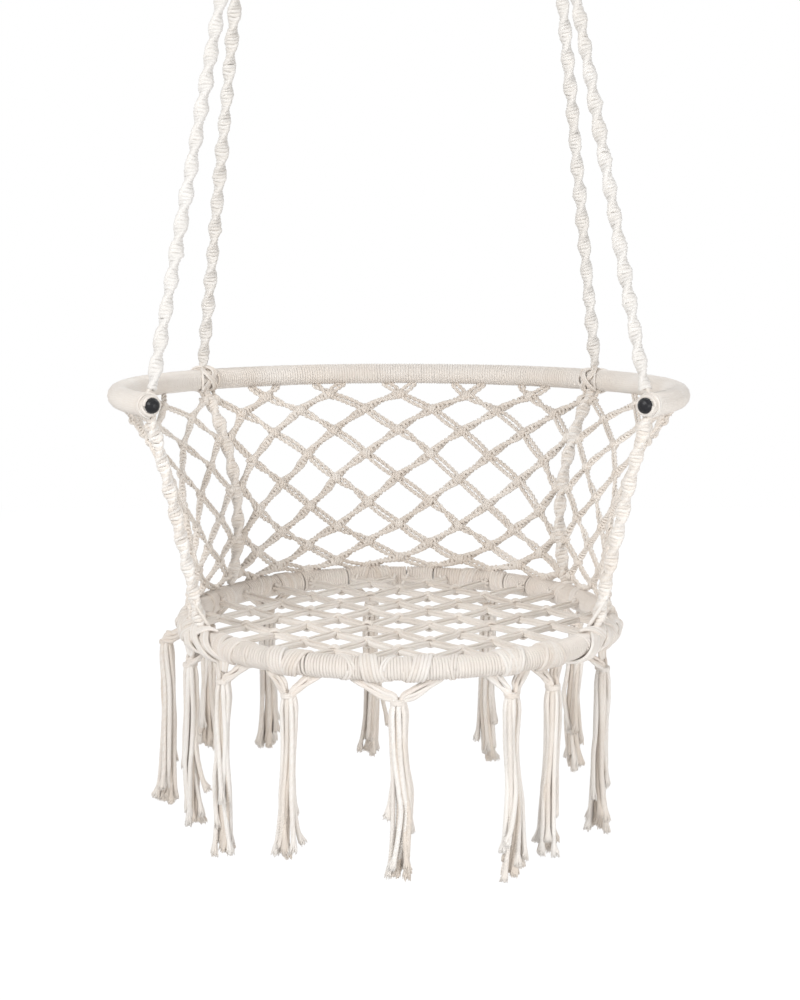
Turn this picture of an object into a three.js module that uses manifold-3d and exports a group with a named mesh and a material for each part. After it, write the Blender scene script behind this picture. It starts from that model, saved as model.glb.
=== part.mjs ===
// Hammock chair: a cord-wound seat ring and a cord-wound back hoop of steel tube, joined by knotted
// diamond nets and four twisted ropes, hung by two pairs of suspension ropes from two steel rings.
// Millimetres, +Z up, +Y to the back of the chair, +X to the right as seen from the front.

import * as THREE from 'three';
import { mergeVertices } from 'three/addons/utils/BufferGeometryUtils.js';
import Module from 'manifold-3d';

const wasm = await Module();
wasm.setup();

// Seat ring and back hoop
const seatRingRadius = 304;
const hoopRadius = 400;
const hoopHeight = 331.5;
const hoopSetback = 5;
const hoopTilt = THREE.MathUtils.degToRad(2.5);
const hoopEndBearing = 124.2;
const tubeRadius = 11;
const tubeWall = 1.5;
const windingThickness = 5.4;
const seamGap = 1;
const seatSeamBearing = 100;
const seatSegments = 36;
const hoopEndRun = 2;
const hoopSideSegments = 8;
const hoopBackSegments = 11;
const tubeSides = 8;
const windingSides = 10;

// Gaps between touching pieces
const seatGap = 0.3;
const hingeGap = 0.5;

// End plugs of the hoop
const plugStemLength = 12;
const plugDomeHeight = 8.5;
const plugSides = 16;
const plugDomeCut = 75;
const plugDomeRuns = 3;

// Ropes between the seat ring and the hoop, and the lashings on the hoop
const rearHoopBearing = 49.5;
const rearSeatBearing = 57;
const frontHoopBearing = hoopEndBearing - hoopEndRun;
const frontSeatBearing = 116;
const ropeRadius = 9;
const ropeEndRadius = 5;
const ropeEndTaper = 6;
const lowerRopeRuns = 8;
const lashingLength = 16;
const lashingThickness = 3;

// How deep the nets and the lower ropes draw in at half height: at the back, rear ropes, sides, corners
// and front ropes
const backWaistDepth = 28;
const rearWaistDepth = 37;
const sideWaistDepth = 36;
const cornerWaistDepth = 43;
const frontWaistDepth = 2;
const sideWaistBearing = 86;
const cornerWaistBearing = 104;

// Back net
const netTail = 10;
const hangTail = 5;
const hangHalfSpan = 26;
const legWidth = 12;
const legThickness = 7;
const knotThickness = 11;
const backCells = 6;
const sideCells = 4;
const netRowShares = [0.052, 0.133, 0.243, 0.37, 0.498, 0.636, 0.757, 0.855, 0.948];

// Seat net
const seatCellWidth = 88;
const seatCellDepth = 100;
const seatNetMargin = 24;
const seatLegWidth = 13;
const seatLegThickness = 8;
const seatKnotThickness = 10;

// Tassels and the V hitches that they hang from
const tasselBearings = [0, 29, -28, 42, -50, 66, -70, -90, 120, -113, -139, -172, 153];
const tasselLength = 236;
const tasselLengthShares = [1.02, 1.08, 0.95, 1.01, 1.04, 1, 1, 1.03, 0.98, 0.82, 0.96, 1.07, 1.09];
const hitchLean = THREE.MathUtils.degToRad(-70);
const hitchDrop = 31;
const hitchHalfSpan = 50;
const hitchSpanShares = [1, 0.5, 0.66, 0.34, 0.66, 0.66, 0.66, 0.5, 0.66, 0.66, 0.66, 0.66, 0.66];
const outerHitchBearing = -90;
const outerHitchLean = THREE.MathUtils.degToRad(-30);
const outerHitchDrop = 42;
const hitchLegWidth = 9;
const hitchThickness = 9;
const hitchKnotThickness = 16;
const hitchTail = 5;
const tasselHeadRadius = 11;
const tasselHeadLength = 14;
const tasselHeadSides = 8;
const strandCount = 6;
const strandRadius = 3;
const strandCircleRadius = 6.9;
const strandSpread = 8;
const strandWave = 4;
const strandRuns = 3;
const strandSides = 4;
const strandOverlap = 7;

// Suspension: the necks where each pair of ropes meets, the eyes and the hanging rings
const neckHalfSpacing = 212;
const neckHeight = 1100;
const neckSetback = 69.6;
const ropeTipSpread = 10;
const frontFootLean = THREE.MathUtils.degToRad(18);
const ropeSides = 8;
const ropeTipRuns = 3;
const neckLength = 50;
const neckRadius = 20;
const neckSides = 12;
const neckShoulder = 6;
const eyeRopeRadius = 5;
const eyeLegDrop = 22;
const eyeSides = 8;
const eyeArcRuns = 6;
const ringWireRadius = 3;
const ringRadius = 27;
const ringSegments = 20;
const ringWireSides = 8;

const toRadians = THREE.MathUtils.degToRad;
const seatRing = { radius: seatRingRadius, centre: new THREE.Vector3(), tilt: 0 };
const hoop = {
  radius: hoopRadius,
  centre: new THREE.Vector3(0, hoopSetback, hoopHeight),
  tilt: hoopTilt,
};
const windingInnerRadius = tubeRadius + seatGap / Math.cos(Math.PI / tubeSides);
const windingRadius = windingInnerRadius + windingThickness;

// Bearings run from the back of the chair: 0 is +Y and 90 is +X
function steps(from, to, count) {
  return Array.from({ length: count + 1 }, (_, i) => from + (to - from) * i / count);
}
const seamShare = THREE.MathUtils.radToDeg(seamGap / seatRingRadius) / 2;
seatRing.stations = steps(seatSeamBearing + seamShare, seatSeamBearing + 360 - seamShare, seatSegments);
hoop.stations = [
  -hoopEndBearing,
  ...steps(-frontHoopBearing, -rearHoopBearing, hoopSideSegments),
  ...steps(-rearHoopBearing, rearHoopBearing, hoopBackSegments).slice(1),
  ...steps(rearHoopBearing, frontHoopBearing, hoopSideSegments).slice(1),
  hoopEndBearing,
];

const radialAt = (ring, bearing) => {
  const a = toRadians(bearing);
  const forward = Math.cos(a);
  return new THREE.Vector3(Math.sin(a), forward * Math.cos(ring.tilt), -forward * Math.sin(ring.tilt));
};
const upOf = (ring) => new THREE.Vector3(0, Math.sin(ring.tilt), Math.cos(ring.tilt));
const tangentAt = (ring, bearing) => new THREE.Vector3().crossVectors(radialAt(ring, bearing), upOf(ring));

// The rings are built of straight chords, so their centre line dips a little between two stations
const chordFactor = (ring, bearing) => {
  const first = ring.stations[0];
  const turned = first + ((((bearing - first) % 360) + 360) % 360);
  const next = Math.min(Math.max(ring.stations.findIndex((s) => s > turned), 1), ring.stations.length - 1);
  const middle = (ring.stations[next - 1] + ring.stations[next]) / 2;
  const half = (ring.stations[next] - ring.stations[next - 1]) / 2;
  const off = Math.min(Math.abs(turned - middle), half);
  return Math.cos(toRadians(half)) / Math.cos(toRadians(off));
};
const centreAt = (ring, bearing) => ring.centre.clone()
  .addScaledVector(radialAt(ring, bearing), ring.radius * chordFactor(ring, bearing));
const sectionDirection = (ring, bearing, angle) => radialAt(ring, bearing)
  .multiplyScalar(Math.cos(angle)).addScaledVector(upOf(ring), Math.sin(angle));
const sectionAngle = (ring, bearing, toward) => Math.atan2(
  toward.dot(upOf(ring)),
  toward.dot(radialAt(ring, bearing)),
);

// How far a faceted round section reaches along a direction, over a strip of the given half width
function stripReach(sides, radius, angle, halfWidth) {
  let reach = 0;
  for (let i = 0; i < sides; i += 1) {
    const a = 2 * Math.PI * i / sides - angle;
    const b = 2 * Math.PI * (i + 1) / sides - angle;
    const [ax, ay, bx, by] = [Math.cos(a), Math.sin(a), Math.cos(b), Math.sin(b)].map((c) => c * radius);
    for (const side of [ay, by, -halfWidth, halfWidth]) {
      const inStrip = Math.abs(side) <= halfWidth * (1 + Number.EPSILON);
      const onEdge = (side - ay) * (side - by) <= 0 && ay !== by;
      if (inStrip && onEdge) reach = Math.max(reach, ax + (bx - ax) * (side - ay) / (by - ay));
    }
  }
  return reach;
}

// Seat of a flat end on a winding or on a lashing: a point clear of it by the gap
const seatOn = (ring, bearing, angle, radius, halfWidth, gap = seatGap) => centreAt(ring, bearing)
  .addScaledVector(
    sectionDirection(ring, bearing, angle),
    stripReach(windingSides, radius, angle, halfWidth) + gap,
  );

// Meshes from rings of points
function solidFrom(points, triangles) {
  const geometry = new THREE.BufferGeometry();
  const places = points.flatMap((point) => point.toArray());
  geometry.setAttribute('position', new THREE.Float32BufferAttribute(places, 3));
  const [a, b, c] = [0, 1, 2].map(() => new THREE.Vector3());
  let volume = 0;
  for (const [i, j, k] of triangles) {
    volume += a.copy(points[i]).dot(b.copy(points[j]).cross(c.copy(points[k])));
  }
  const facing = volume < 0 ? triangles.map(([i, j, k]) => [i, k, j]) : triangles;
  geometry.setIndex(facing.flat());
  return geometry;
}

function bandBetween(first, second, sides, triangles) {
  for (let i = 0; i < sides; i += 1) {
    const j = (i + 1) % sides;
    triangles.push([first + i, first + j, second + j], [first + i, second + j, second + i]);
  }
}

// A closed tube along points, with a radius at each and flat ends, its first side toward a given vector
function taperedTube(path, radii, sides, sideVector) {
  const points = [];
  const triangles = [];
  path.forEach((centre, index) => {
    const before = path[Math.max(index - 1, 0)];
    const after = path[Math.min(index + 1, path.length - 1)];
    const along = after.clone().sub(before).normalize();
    const across = sideVector.clone().addScaledVector(along, -sideVector.dot(along)).normalize();
    const third = new THREE.Vector3().crossVectors(along, across);
    for (let i = 0; i < sides; i += 1) {
      const a = 2 * Math.PI * i / sides;
      points.push(centre.clone()
        .addScaledVector(across, Math.cos(a) * radii[index])
        .addScaledVector(third, Math.sin(a) * radii[index]));
    }
    if (index > 0) bandBetween((index - 1) * sides, index * sides, sides, triangles);
  });
  const last = (path.length - 1) * sides;
  for (let i = 1; i < sides - 1; i += 1) {
    triangles.push([0, i + 1, i], [last, last + i, last + i + 1]);
  }
  return solidFrom(points, triangles);
}

// A bent tube wall that follows a ring from its first bearing to its last
function ringWall(ring, bearings, outerSides, outerRadius, innerSides, innerRadius) {
  const points = [];
  const triangles = [];
  const perStation = outerSides + innerSides;
  const addSection = (bearing, sides, radius) => {
    for (let i = 0; i < sides; i += 1) {
      const direction = sectionDirection(ring, bearing, 2 * Math.PI * i / sides);
      points.push(centreAt(ring, bearing).addScaledVector(direction, radius));
    }
  };
  bearings.forEach((bearing, index) => {
    addSection(bearing, outerSides, outerRadius);
    addSection(bearing, innerSides, innerRadius);
    if (index > 0) {
      const before = (index - 1) * perStation;
      const here = index * perStation;
      bandBetween(before, here, outerSides, triangles);
      const inner = [];
      bandBetween(before + outerSides, here + outerSides, innerSides, inner);
      triangles.push(...inner.map(([i, j, k]) => [i, k, j]));
    }
  });
  const flat = (sides, radius) => Array.from({ length: sides }, (_, i) => new THREE.Vector2(
    Math.cos(2 * Math.PI * i / sides) * radius,
    Math.sin(2 * Math.PI * i / sides) * radius,
  ));
  const hole = flat(innerSides, innerRadius);
  const face = THREE.ShapeUtils.triangulateShape(flat(outerSides, outerRadius), [hole]);
  const last = (bearings.length - 1) * perStation;
  for (const [i, j, k] of face) triangles.push([i, k, j], [last + i, last + j, last + k]);
  return solidFrom(points, triangles);
}

// A net of flat cords: knots with cords fanning out, and ends with a flat face.
// Each knot is { at, normal, thick }, and an end may also have its own left and right corner
function netSolid(knots, cords, width) {
  const arms = knots.map(() => []);
  for (const [i, j] of cords) {
    arms[i].push({ to: j });
    arms[j].push({ to: i });
  }
  const points = [];
  const triangles = [];
  const addPair = (at, normal, thick) => {
    for (const side of [1, -1]) points.push(at.clone().addScaledVector(normal, side * thick / 2));
    return points.length - 2;
  };
  knots.forEach((knot, index) => {
    const own = arms[index];
    const heading = (arm) => {
      const way = knots[arm.to].at.clone().sub(knot.at);
      return way.addScaledVector(knot.normal, -way.dot(knot.normal)).normalize();
    };
    const reference = heading(own[0]);
    const sideways = new THREE.Vector3().crossVectors(knot.normal, reference);
    if (own.length === 1) {
      const left = knot.left ?? knot.at.clone().addScaledVector(sideways, width / 2);
      const right = knot.right ?? knot.at.clone().addScaledVector(sideways, -width / 2);
      own[0].left = addPair(left, knot.normal, knot.thick);
      own[0].right = addPair(right, knot.normal, knot.thick);
      const [l, r] = [own[0].left, own[0].right];
      triangles.push([l, l + 1, r + 1], [l, r + 1, r]);
      return;
    }
    for (const arm of own) {
      const way = heading(arm);
      const turn = Math.atan2(way.dot(sideways), way.dot(reference));
      arm.turn = turn < 0 ? turn + 2 * Math.PI : turn;
    }
    own.sort((a, b) => a.turn - b.turn);
    own.forEach((arm, place) => {
      const next = own[(place + 1) % own.length];
      const open = ((next.turn - arm.turn) + 2 * Math.PI) % (2 * Math.PI) || 2 * Math.PI;
      const middle = arm.turn + open / 2;
      const reach = width / 2 / Math.max(Math.sin(open / 2), 0.5);
      const corner = knot.at.clone()
        .addScaledVector(reference, Math.cos(middle) * reach)
        .addScaledVector(sideways, Math.sin(middle) * reach);
      arm.left = addPair(corner, knot.normal, knot.edge ?? knot.thick);
      next.right = arm.left;
    });
    const centre = addPair(knot.at, knot.normal, knot.thick);
    for (const arm of own) {
      triangles.push([centre, arm.right, arm.left], [centre + 1, arm.left + 1, arm.right + 1]);
    }
  });
  for (const [i, j] of cords) {
    const near = arms[i].find((arm) => arm.to === j);
    const far = arms[j].find((arm) => arm.to === i);
    const [r, l, fr, fl] = [near.right, near.left, far.left, far.right];
    triangles.push([r, fr, fl], [r, fl, l], [r + 1, fl + 1, fr + 1], [r + 1, l + 1, fl + 1]);
    triangles.push([r, r + 1, fr + 1], [r, fr + 1, fr], [l, fl, fl + 1], [l, fl + 1, l + 1]);
  }
  return solidFrom(points, triangles);
}

// Joins overlapping closed meshes into one solid
function joined(geometries) {
  const solids = geometries.map((source) => {
    const bare = source.clone();
    bare.deleteAttribute('normal');
    bare.deleteAttribute('uv');
    const welded = mergeVertices(bare);
    return new wasm.Manifold(new wasm.Mesh({
      numProp: 3,
      vertProperties: new Float32Array(welded.attributes.position.array),
      triVerts: new Uint32Array(welded.index.array),
    }));
  });
  const mesh = solids.reduce((whole, piece) => whole.add(piece)).getMesh();
  const geometry = new THREE.BufferGeometry();
  geometry.setAttribute('position', new THREE.Float32BufferAttribute(mesh.vertProperties, 3));
  geometry.setIndex(Array.from(mesh.triVerts));
  return geometry;
}

// A turned solid whose profile starts and ends on its axis, set with its axis from one point to another
function turnedAlong(profile, sides, from, to) {
  const geometry = new THREE.LatheGeometry(profile.map(([r, h]) => new THREE.Vector2(r, h)), sides);
  const way = to.clone().sub(from).normalize();
  geometry.applyQuaternion(new THREE.Quaternion().setFromUnitVectors(new THREE.Vector3(0, 1, 0), way));
  geometry.translate(from.x, from.y, from.z);
  return geometry;
}

const cordLook = new THREE.MeshStandardMaterial({ color: 0xeee6db, roughness: 0.95, metalness: 0 });
const shadedCordLook = new THREE.MeshStandardMaterial({ color: 0xe2d8cb, roughness: 0.95, metalness: 0 });
const tubeLook = new THREE.MeshStandardMaterial({ color: 0xe8e6e2, roughness: 0.45, metalness: 0.1 });
const plugLook = new THREE.MeshStandardMaterial({ color: 0x232326, roughness: 0.25, metalness: 0 });
const steelLook = new THREE.MeshStandardMaterial({ color: 0xb9bcc0, roughness: 0.3, metalness: 1 });

const chair = new THREE.Group();
function add(parent, name, geometry, look) {
  const mesh = new THREE.Mesh(geometry, look.clone());
  mesh.name = name;
  parent.add(mesh);
  return mesh;
}

// Seat ring and hoop: rolled tube inside, cord winding outside
for (const [name, ring] of [['seat_ring', seatRing], ['back_hoop', hoop]]) {
  const tube = ringWall(ring, ring.stations, tubeSides, tubeRadius, tubeSides, tubeRadius - tubeWall);
  const winding = ringWall(ring, ring.stations, windingSides, windingRadius, tubeSides, windingInnerRadius);
  add(chair, `${name}_tube`, tube, tubeLook);
  add(chair, `${name}_winding`, winding, cordLook);
}

// End plugs: a stem in the bore and a dome over the end of the tube
const plugStemRadius = (tubeRadius - tubeWall) * Math.cos(Math.PI / tubeSides) - seatGap;
const plugProfile = [
  [0, -plugStemLength],
  [plugStemRadius, -plugStemLength],
  [plugStemRadius, seatGap],
  [tubeRadius, seatGap],
  ...steps(0, plugDomeCut, plugDomeRuns).map((angle) => [
    tubeRadius * Math.cos(toRadians(angle)),
    2 * seatGap + plugDomeHeight * Math.sin(toRadians(angle)),
  ]),
  [0, 2 * seatGap + plugDomeHeight],
];
for (const [name, side] of [['left', -1], ['right', 1]]) {
  const end = centreAt(hoop, side * hoopEndBearing);
  const inner = centreAt(hoop, side * frontHoopBearing);
  const out = end.clone().sub(inner).normalize();
  add(chair, `end_plug_${name}`, turnedAlong(plugProfile, plugSides, end, end.clone().add(out)), plugLook);
}

// A line between the two rings: bearings on both, and the section angle that faces the other ring
function railBetween(seatBearing, hoopBearing, hoopSectionRadius, halfWidth) {
  const way = centreAt(hoop, hoopBearing).sub(centreAt(seatRing, seatBearing));
  const seatAngle = sectionAngle(seatRing, seatBearing, way);
  const hoopAngle = sectionAngle(hoop, hoopBearing, way.negate());
  return {
    bottom: seatOn(seatRing, seatBearing, seatAngle, windingRadius, halfWidth),
    top: seatOn(hoop, hoopBearing, hoopAngle, hoopSectionRadius, halfWidth),
    bottomWay: sectionDirection(seatRing, seatBearing, seatAngle),
    topWay: sectionDirection(hoop, hoopBearing, hoopAngle),
    inward: radialAt(seatRing, (seatBearing + hoopBearing) / 2).negate(),
    waist: waistDepthAt(Math.abs(seatBearing)),
  };
}
const waistTable = [
  [0, backWaistDepth],
  [rearSeatBearing, rearWaistDepth],
  [sideWaistBearing, sideWaistDepth],
  [cornerWaistBearing, cornerWaistDepth],
  [frontSeatBearing, frontWaistDepth],
];
function waistDepthAt(bearing) {
  const next = Math.max(waistTable.findIndex(([b]) => b >= bearing), 1);
  const [[fromBearing, from], [toBearing, to]] = [waistTable[next - 1], waistTable[next]];
  return from + (to - from) * (bearing - fromBearing) / (toBearing - fromBearing);
}
const drawnIn = (point, rail, share) => point
  .addScaledVector(rail.inward, rail.waist * 4 * share * (1 - share));
const wayUp = (low, high, rail, share) => high.clone().sub(low)
  .addScaledVector(rail.inward, rail.waist * 4 * (1 - 2 * share)).normalize();
const netPoint = (rail, share) => drawnIn(rail.bottom.clone().lerp(rail.top, share), rail, share);
const outwardFrom = (way, inward) => inward.clone().negate()
  .addScaledVector(way, way.dot(inward)).normalize();

// Lower ropes: from the lashing on the hoop down to the seat ring, drawn in a little at the waist
const lashingInnerRadius = windingRadius + seatGap / Math.cos(Math.PI / windingSides);
const lashingRadius = lashingInnerRadius + lashingThickness;
const lashingHalfTurn = THREE.MathUtils.radToDeg(lashingLength / 2 / hoopRadius);
function lowerRope(side, seatBearing, hoopBearing) {
  const rail = railBetween(side * seatBearing, side * hoopBearing, lashingRadius, ropeEndRadius);
  const low = rail.bottom.clone().addScaledVector(rail.bottomWay, ropeEndTaper);
  const high = rail.top.clone().addScaledVector(rail.topWay, ropeEndTaper);
  const at = (share) => drawnIn(low.clone().lerp(high, share), rail, share);
  const path = [rail.bottom, ...steps(0, 1, lowerRopeRuns).map(at), rail.top];
  return { path, at, wayAt: (share) => wayUp(low, high, rail, share) };
}
const lowerRopes = {};
for (const [sideName, side] of [['left', -1], ['right', 1]]) {
  for (const [place, seatBearing, hoopBearing] of [
    ['rear', rearSeatBearing, rearHoopBearing],
    ['front', frontSeatBearing, frontHoopBearing],
  ]) {
    const rope = lowerRope(side, seatBearing, hoopBearing);
    lowerRopes[`${place}_${sideName}`] = rope;
    const lastPoint = rope.path.length - 1;
    const radii = rope.path.map((_, i) => (i % lastPoint === 0 ? ropeEndRadius : ropeRadius));
    const tangent = tangentAt(hoop, side * hoopBearing);
    const solid = taperedTube(rope.path, radii, ropeSides, tangent);
    add(chair, `lower_rope_${place}_${sideName}`, solid, cordLook);
    const lashing = ringWall(
      hoop,
      [-lashingHalfTurn, 0, lashingHalfTurn].map((turn) => side * hoopBearing + turn),
      windingSides,
      lashingRadius,
      windingSides,
      lashingInnerRadius,
    );
    add(chair, `hoop_lashing_${place}_${sideName}`, lashing, cordLook);
  }
}

// One field of the back net between two ropes: each inner cell line starts with a knot hung by a V from
// the hoop, and the rows of knots below it lie in turn between the cell lines and on them
function netField(cells, from, to) {
  const knots = [];
  const cords = [];
  const rows = netRowShares.length + 1;
  const bearingsAt = (u) => [
    from.seat + (to.seat - from.seat) * u / cells,
    from.hoop + (to.hoop - from.hoop) * u / cells,
  ];
  const addKnot = (at, normal) => knots.push({ at, normal, thick: knotThickness, edge: legThickness }) - 1;
  const addEndAt = (end, way, normal, tail = netTail) => {
    const knot = addKnot(end.clone().addScaledVector(way, tail), normal);
    cords.push([knot, knots.push({ at: end, normal, thick: legThickness }) - 1]);
    return knot;
  };
  const hangTurn = THREE.MathUtils.radToDeg(hangHalfSpan / hoopRadius);
  const addHangs = (u, knot) => {
    const [seatBearing, hoopBearing] = bearingsAt(u);
    for (const turn of [-hangTurn, hangTurn]) {
      const rail = railBetween(seatBearing, hoopBearing + turn, windingRadius, legThickness / 2);
      cords.push([knot, addEndAt(rail.top, rail.topWay, outwardFrom(rail.topWay, rail.inward), hangTail)]);
    }
  };
  let above = [];
  for (let row = 1; row <= rows; row += 1) {
    const onLines = row % 2 === 1;
    const places = Array.from({ length: onLines ? cells + 1 : cells }, (_, i) => (onLines ? i : i + 0.5));
    const here = places.map((u) => {
      const edgeRope = (u === 0 && from.rope) || (u === cells && to.rope);
      const [seatBearing, hoopBearing] = bearingsAt(u);
      const rail = railBetween(seatBearing, hoopBearing, windingRadius, legThickness / 2);
      if (row === rows) {
        return addEndAt(rail.bottom, rail.bottomWay, outwardFrom(rail.bottomWay, rail.inward));
      }
      const share = 1 - netRowShares[row - 1];
      const normal = outwardFrom(wayUp(rail.bottom, rail.top, rail, share), rail.inward);
      if (!edgeRope) {
        const knot = addKnot(netPoint(rail, share), normal);
        if (row === 1) addHangs(u, knot);
        return knot;
      }
      const onRope = edgeRope.at(share);
      const [seatBeside, hoopBeside] = bearingsAt(u + Math.sign(cells / 2 - u) / 2);
      const beside = railBetween(seatBeside, hoopBeside, windingRadius, legThickness / 2);
      const aside = netPoint(beside, share).sub(onRope);
      const ropeWay = edgeRope.wayAt(share);
      aside.addScaledVector(ropeWay, -aside.dot(ropeWay)).normalize();
      const edgeNormal = normal.addScaledVector(aside, -normal.dot(aside)).normalize();
      return addEndAt(onRope.addScaledVector(aside, ropeRadius + seatGap), aside, edgeNormal);
    });
    const [wide, narrow] = onLines ? [here, above] : [above, here];
    narrow.forEach((knot, i) => cords.push([knot, wide[i]], [knot, wide[i + 1]]));
    above = here;
  }
  return netSolid(knots, cords, legWidth);
}
const rearLine = (side, name) => ({
  seat: side * rearSeatBearing, hoop: side * rearHoopBearing, rope: lowerRopes[`rear_${name}`],
});
const frontLine = (side, name) => ({
  seat: side * frontSeatBearing, hoop: side * frontHoopBearing, rope: lowerRopes[`front_${name}`],
});
add(chair, 'back_net', netField(backCells, rearLine(-1, 'left'), rearLine(1, 'right')), shadedCordLook);
add(chair, 'side_net_left', netField(sideCells, frontLine(-1, 'left'), rearLine(-1, 'left')), cordLook);
add(chair, 'side_net_right', netField(sideCells, rearLine(1, 'right'), frontLine(1, 'right')), cordLook);

// Seat net: a level diamond mesh whose outer cords end on the inside of the seat ring
function seatNetSolid() {
  const up = new THREE.Vector3(0, 0, 1);
  const knots = [];
  const cords = [];
  const inside = (x, y) => Math.hypot(x, y) < seatRingRadius - windingRadius - seatNetMargin;
  const wallRadius = (point) => {
    const bearing = THREE.MathUtils.radToDeg(Math.atan2(point.x, point.y));
    return (seatRingRadius - windingRadius) * chordFactor(seatRing, bearing) - seatGap;
  };
  const onWall = (start, way) => {
    let far = seatRingRadius;
    for (let turn = 0; turn < 20; turn += 1) {
      const point = start.clone().addScaledVector(way, far);
      const wall = wallRadius(point);
      const along = start.dot(way);
      far = -along + Math.sqrt(along * along + wall * wall - start.lengthSq());
    }
    return start.clone().addScaledVector(way, far);
  };
  const columns = Math.ceil(2 * seatRingRadius / seatCellWidth);
  const rows = Math.ceil(2 * seatRingRadius / seatCellDepth);
  const index = new Map();
  for (let i = -columns; i <= columns; i += 1) {
    for (let j = -rows; j <= rows; j += 1) {
      const [x, y] = [i * seatCellWidth / 2, j * seatCellDepth / 2];
      if ((i + j) % 2 === 0 && inside(x, y)) {
        index.set(`${i},${j}`, knots.length);
        knots.push({
          at: new THREE.Vector3(x, y, 0), normal: up, thick: seatKnotThickness, edge: seatLegThickness,
          i, j,
        });
      }
    }
  }
  for (const knot of [...knots]) {
    for (const [di, dj] of [[1, 1], [-1, 1], [1, -1], [-1, -1]]) {
      const other = index.get(`${knot.i + di},${knot.j + dj}`);
      const own = index.get(`${knot.i},${knot.j}`);
      if (other > own) cords.push([own, other]);
      if (other === undefined) {
        const way = new THREE.Vector3(di * seatCellWidth, dj * seatCellDepth, 0).normalize();
        const aside = new THREE.Vector3().crossVectors(up, way).multiplyScalar(seatLegWidth / 2);
        const right = onWall(knot.at.clone().add(aside), way);
        const left = onWall(knot.at.clone().sub(aside), way);
        const at = left.clone().add(right).divideScalar(2);
        knots.push({ at, normal: up, thick: seatLegThickness, left, right });
        cords.push([own, knots.length - 1]);
      }
    }
  }
  return netSolid(knots, cords, seatLegWidth);
}
add(chair, 'seat_net', seatNetSolid(), shadedCordLook);

// V hitch under the seat ring: two legs from the winding to a knot with a flat underside. The one at
// the far left leans out past the ring
const down = new THREE.Vector3(0, 0, -1);
function tasselHitch(place) {
  const bearing = 180 - tasselBearings[place];
  const halfSpan = hitchHalfSpan * hitchSpanShares[place];
  const outer = tasselBearings[place] === outerHitchBearing;
  const [lean, drop] = outer ? [outerHitchLean, outerHitchDrop] : [hitchLean, hitchDrop];
  const outward = radialAt(seatRing, bearing);
  const tangent = tangentAt(seatRing, bearing);
  const knotAt = centreAt(seatRing, bearing)
    .addScaledVector(sectionDirection(seatRing, bearing, lean), drop);
  const knots = [{ at: knotAt, normal: outward, thick: hitchKnotThickness, edge: hitchThickness }];
  const spanTurn = THREE.MathUtils.radToDeg(halfSpan / seatRingRadius);
  for (const turn of [-spanTurn, spanTurn]) {
    const padBearing = bearing + turn;
    const at = seatOn(seatRing, padBearing, lean, windingRadius, hitchThickness / 2);
    const padWay = sectionDirection(seatRing, padBearing, lean);
    const across = tangentAt(seatRing, padBearing);
    const normal = new THREE.Vector3().crossVectors(across, padWay);
    if (normal.dot(outward) < 0) normal.negate();
    const heading = knotAt.clone().sub(at).normalize();
    const halfFace = hitchLegWidth / 2 / Math.abs(heading.dot(padWay));
    const leftSide = new THREE.Vector3().crossVectors(normal, heading);
    const sign = Math.sign(leftSide.dot(across));
    knots.push({
      at,
      normal,
      thick: hitchThickness,
      left: at.clone().addScaledVector(across, sign * halfFace),
      right: at.clone().addScaledVector(across, -sign * halfFace),
    });
  }
  const foot = knotAt.clone().addScaledVector(down, hitchTail);
  const halfFoot = tangent.clone().multiplyScalar(hitchLegWidth);
  const footLeft = new THREE.Vector3().crossVectors(outward, down).dot(tangent) > 0 ? -1 : 1;
  knots.push({
    at: foot,
    normal: outward,
    thick: hitchKnotThickness,
    left: foot.clone().addScaledVector(halfFoot, footLeft),
    right: foot.clone().addScaledVector(halfFoot, -footLeft),
  });
  return { solid: netSolid(knots, [[0, 1], [0, 2], [0, 3]], hitchLegWidth), foot };
}

// Tassel: a round head that turns under the knot, and strands fanning out of it
function tasselSolid(number, bearing, length) {
  const turned = toRadians(bearing);
  const parts = [turnedAlong([
    [0, -tasselHeadLength],
    [tasselHeadRadius, -tasselHeadLength],
    [tasselHeadRadius, 0],
    [tasselHeadRadius * Math.SQRT1_2, tasselHeadRadius * Math.SQRT1_2],
    [0, tasselHeadRadius],
  ], tasselHeadSides, new THREE.Vector3(), new THREE.Vector3(0, 0, 1))];
  for (let i = 0; i < strandCount; i += 1) {
    const angle = 2 * Math.PI * (i + 0.5) / strandCount - turned;
    const out = new THREE.Vector3(Math.cos(angle), Math.sin(angle), 0);
    const path = steps(0, 1, strandRuns).map((share) => {
      const wave = strandWave * Math.sin(Math.PI * share * 2 + i + number) * share;
      const radius = strandCircleRadius + strandSpread * share + wave / 2;
      const drop = tasselHeadLength - strandOverlap;
      return out.clone().multiplyScalar(radius).setZ(-drop - (length - drop) * share);
    });
    const sideways = new THREE.Vector3(-out.y, out.x, 0);
    parts.push(taperedTube(path, path.map(() => strandRadius), strandSides, sideways));
  }
  return joined(parts);
}
tasselBearings.forEach((fromFront, place) => {
  const number = String(place + 1).padStart(2, '0');
  const bearing = 180 - fromFront;
  const hitch = tasselHitch(place);
  add(chair, `tassel_hitch_${number}`, hitch.solid, cordLook);
  const pivot = hitch.foot.clone().addScaledVector(down, seatGap + tasselHeadRadius);
  const length = tasselLength * tasselLengthShares[place];
  const tassel = add(chair, `tassel_${number}`, tasselSolid(place, bearing, length), cordLook);
  tassel.position.copy(pivot);
});

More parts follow.
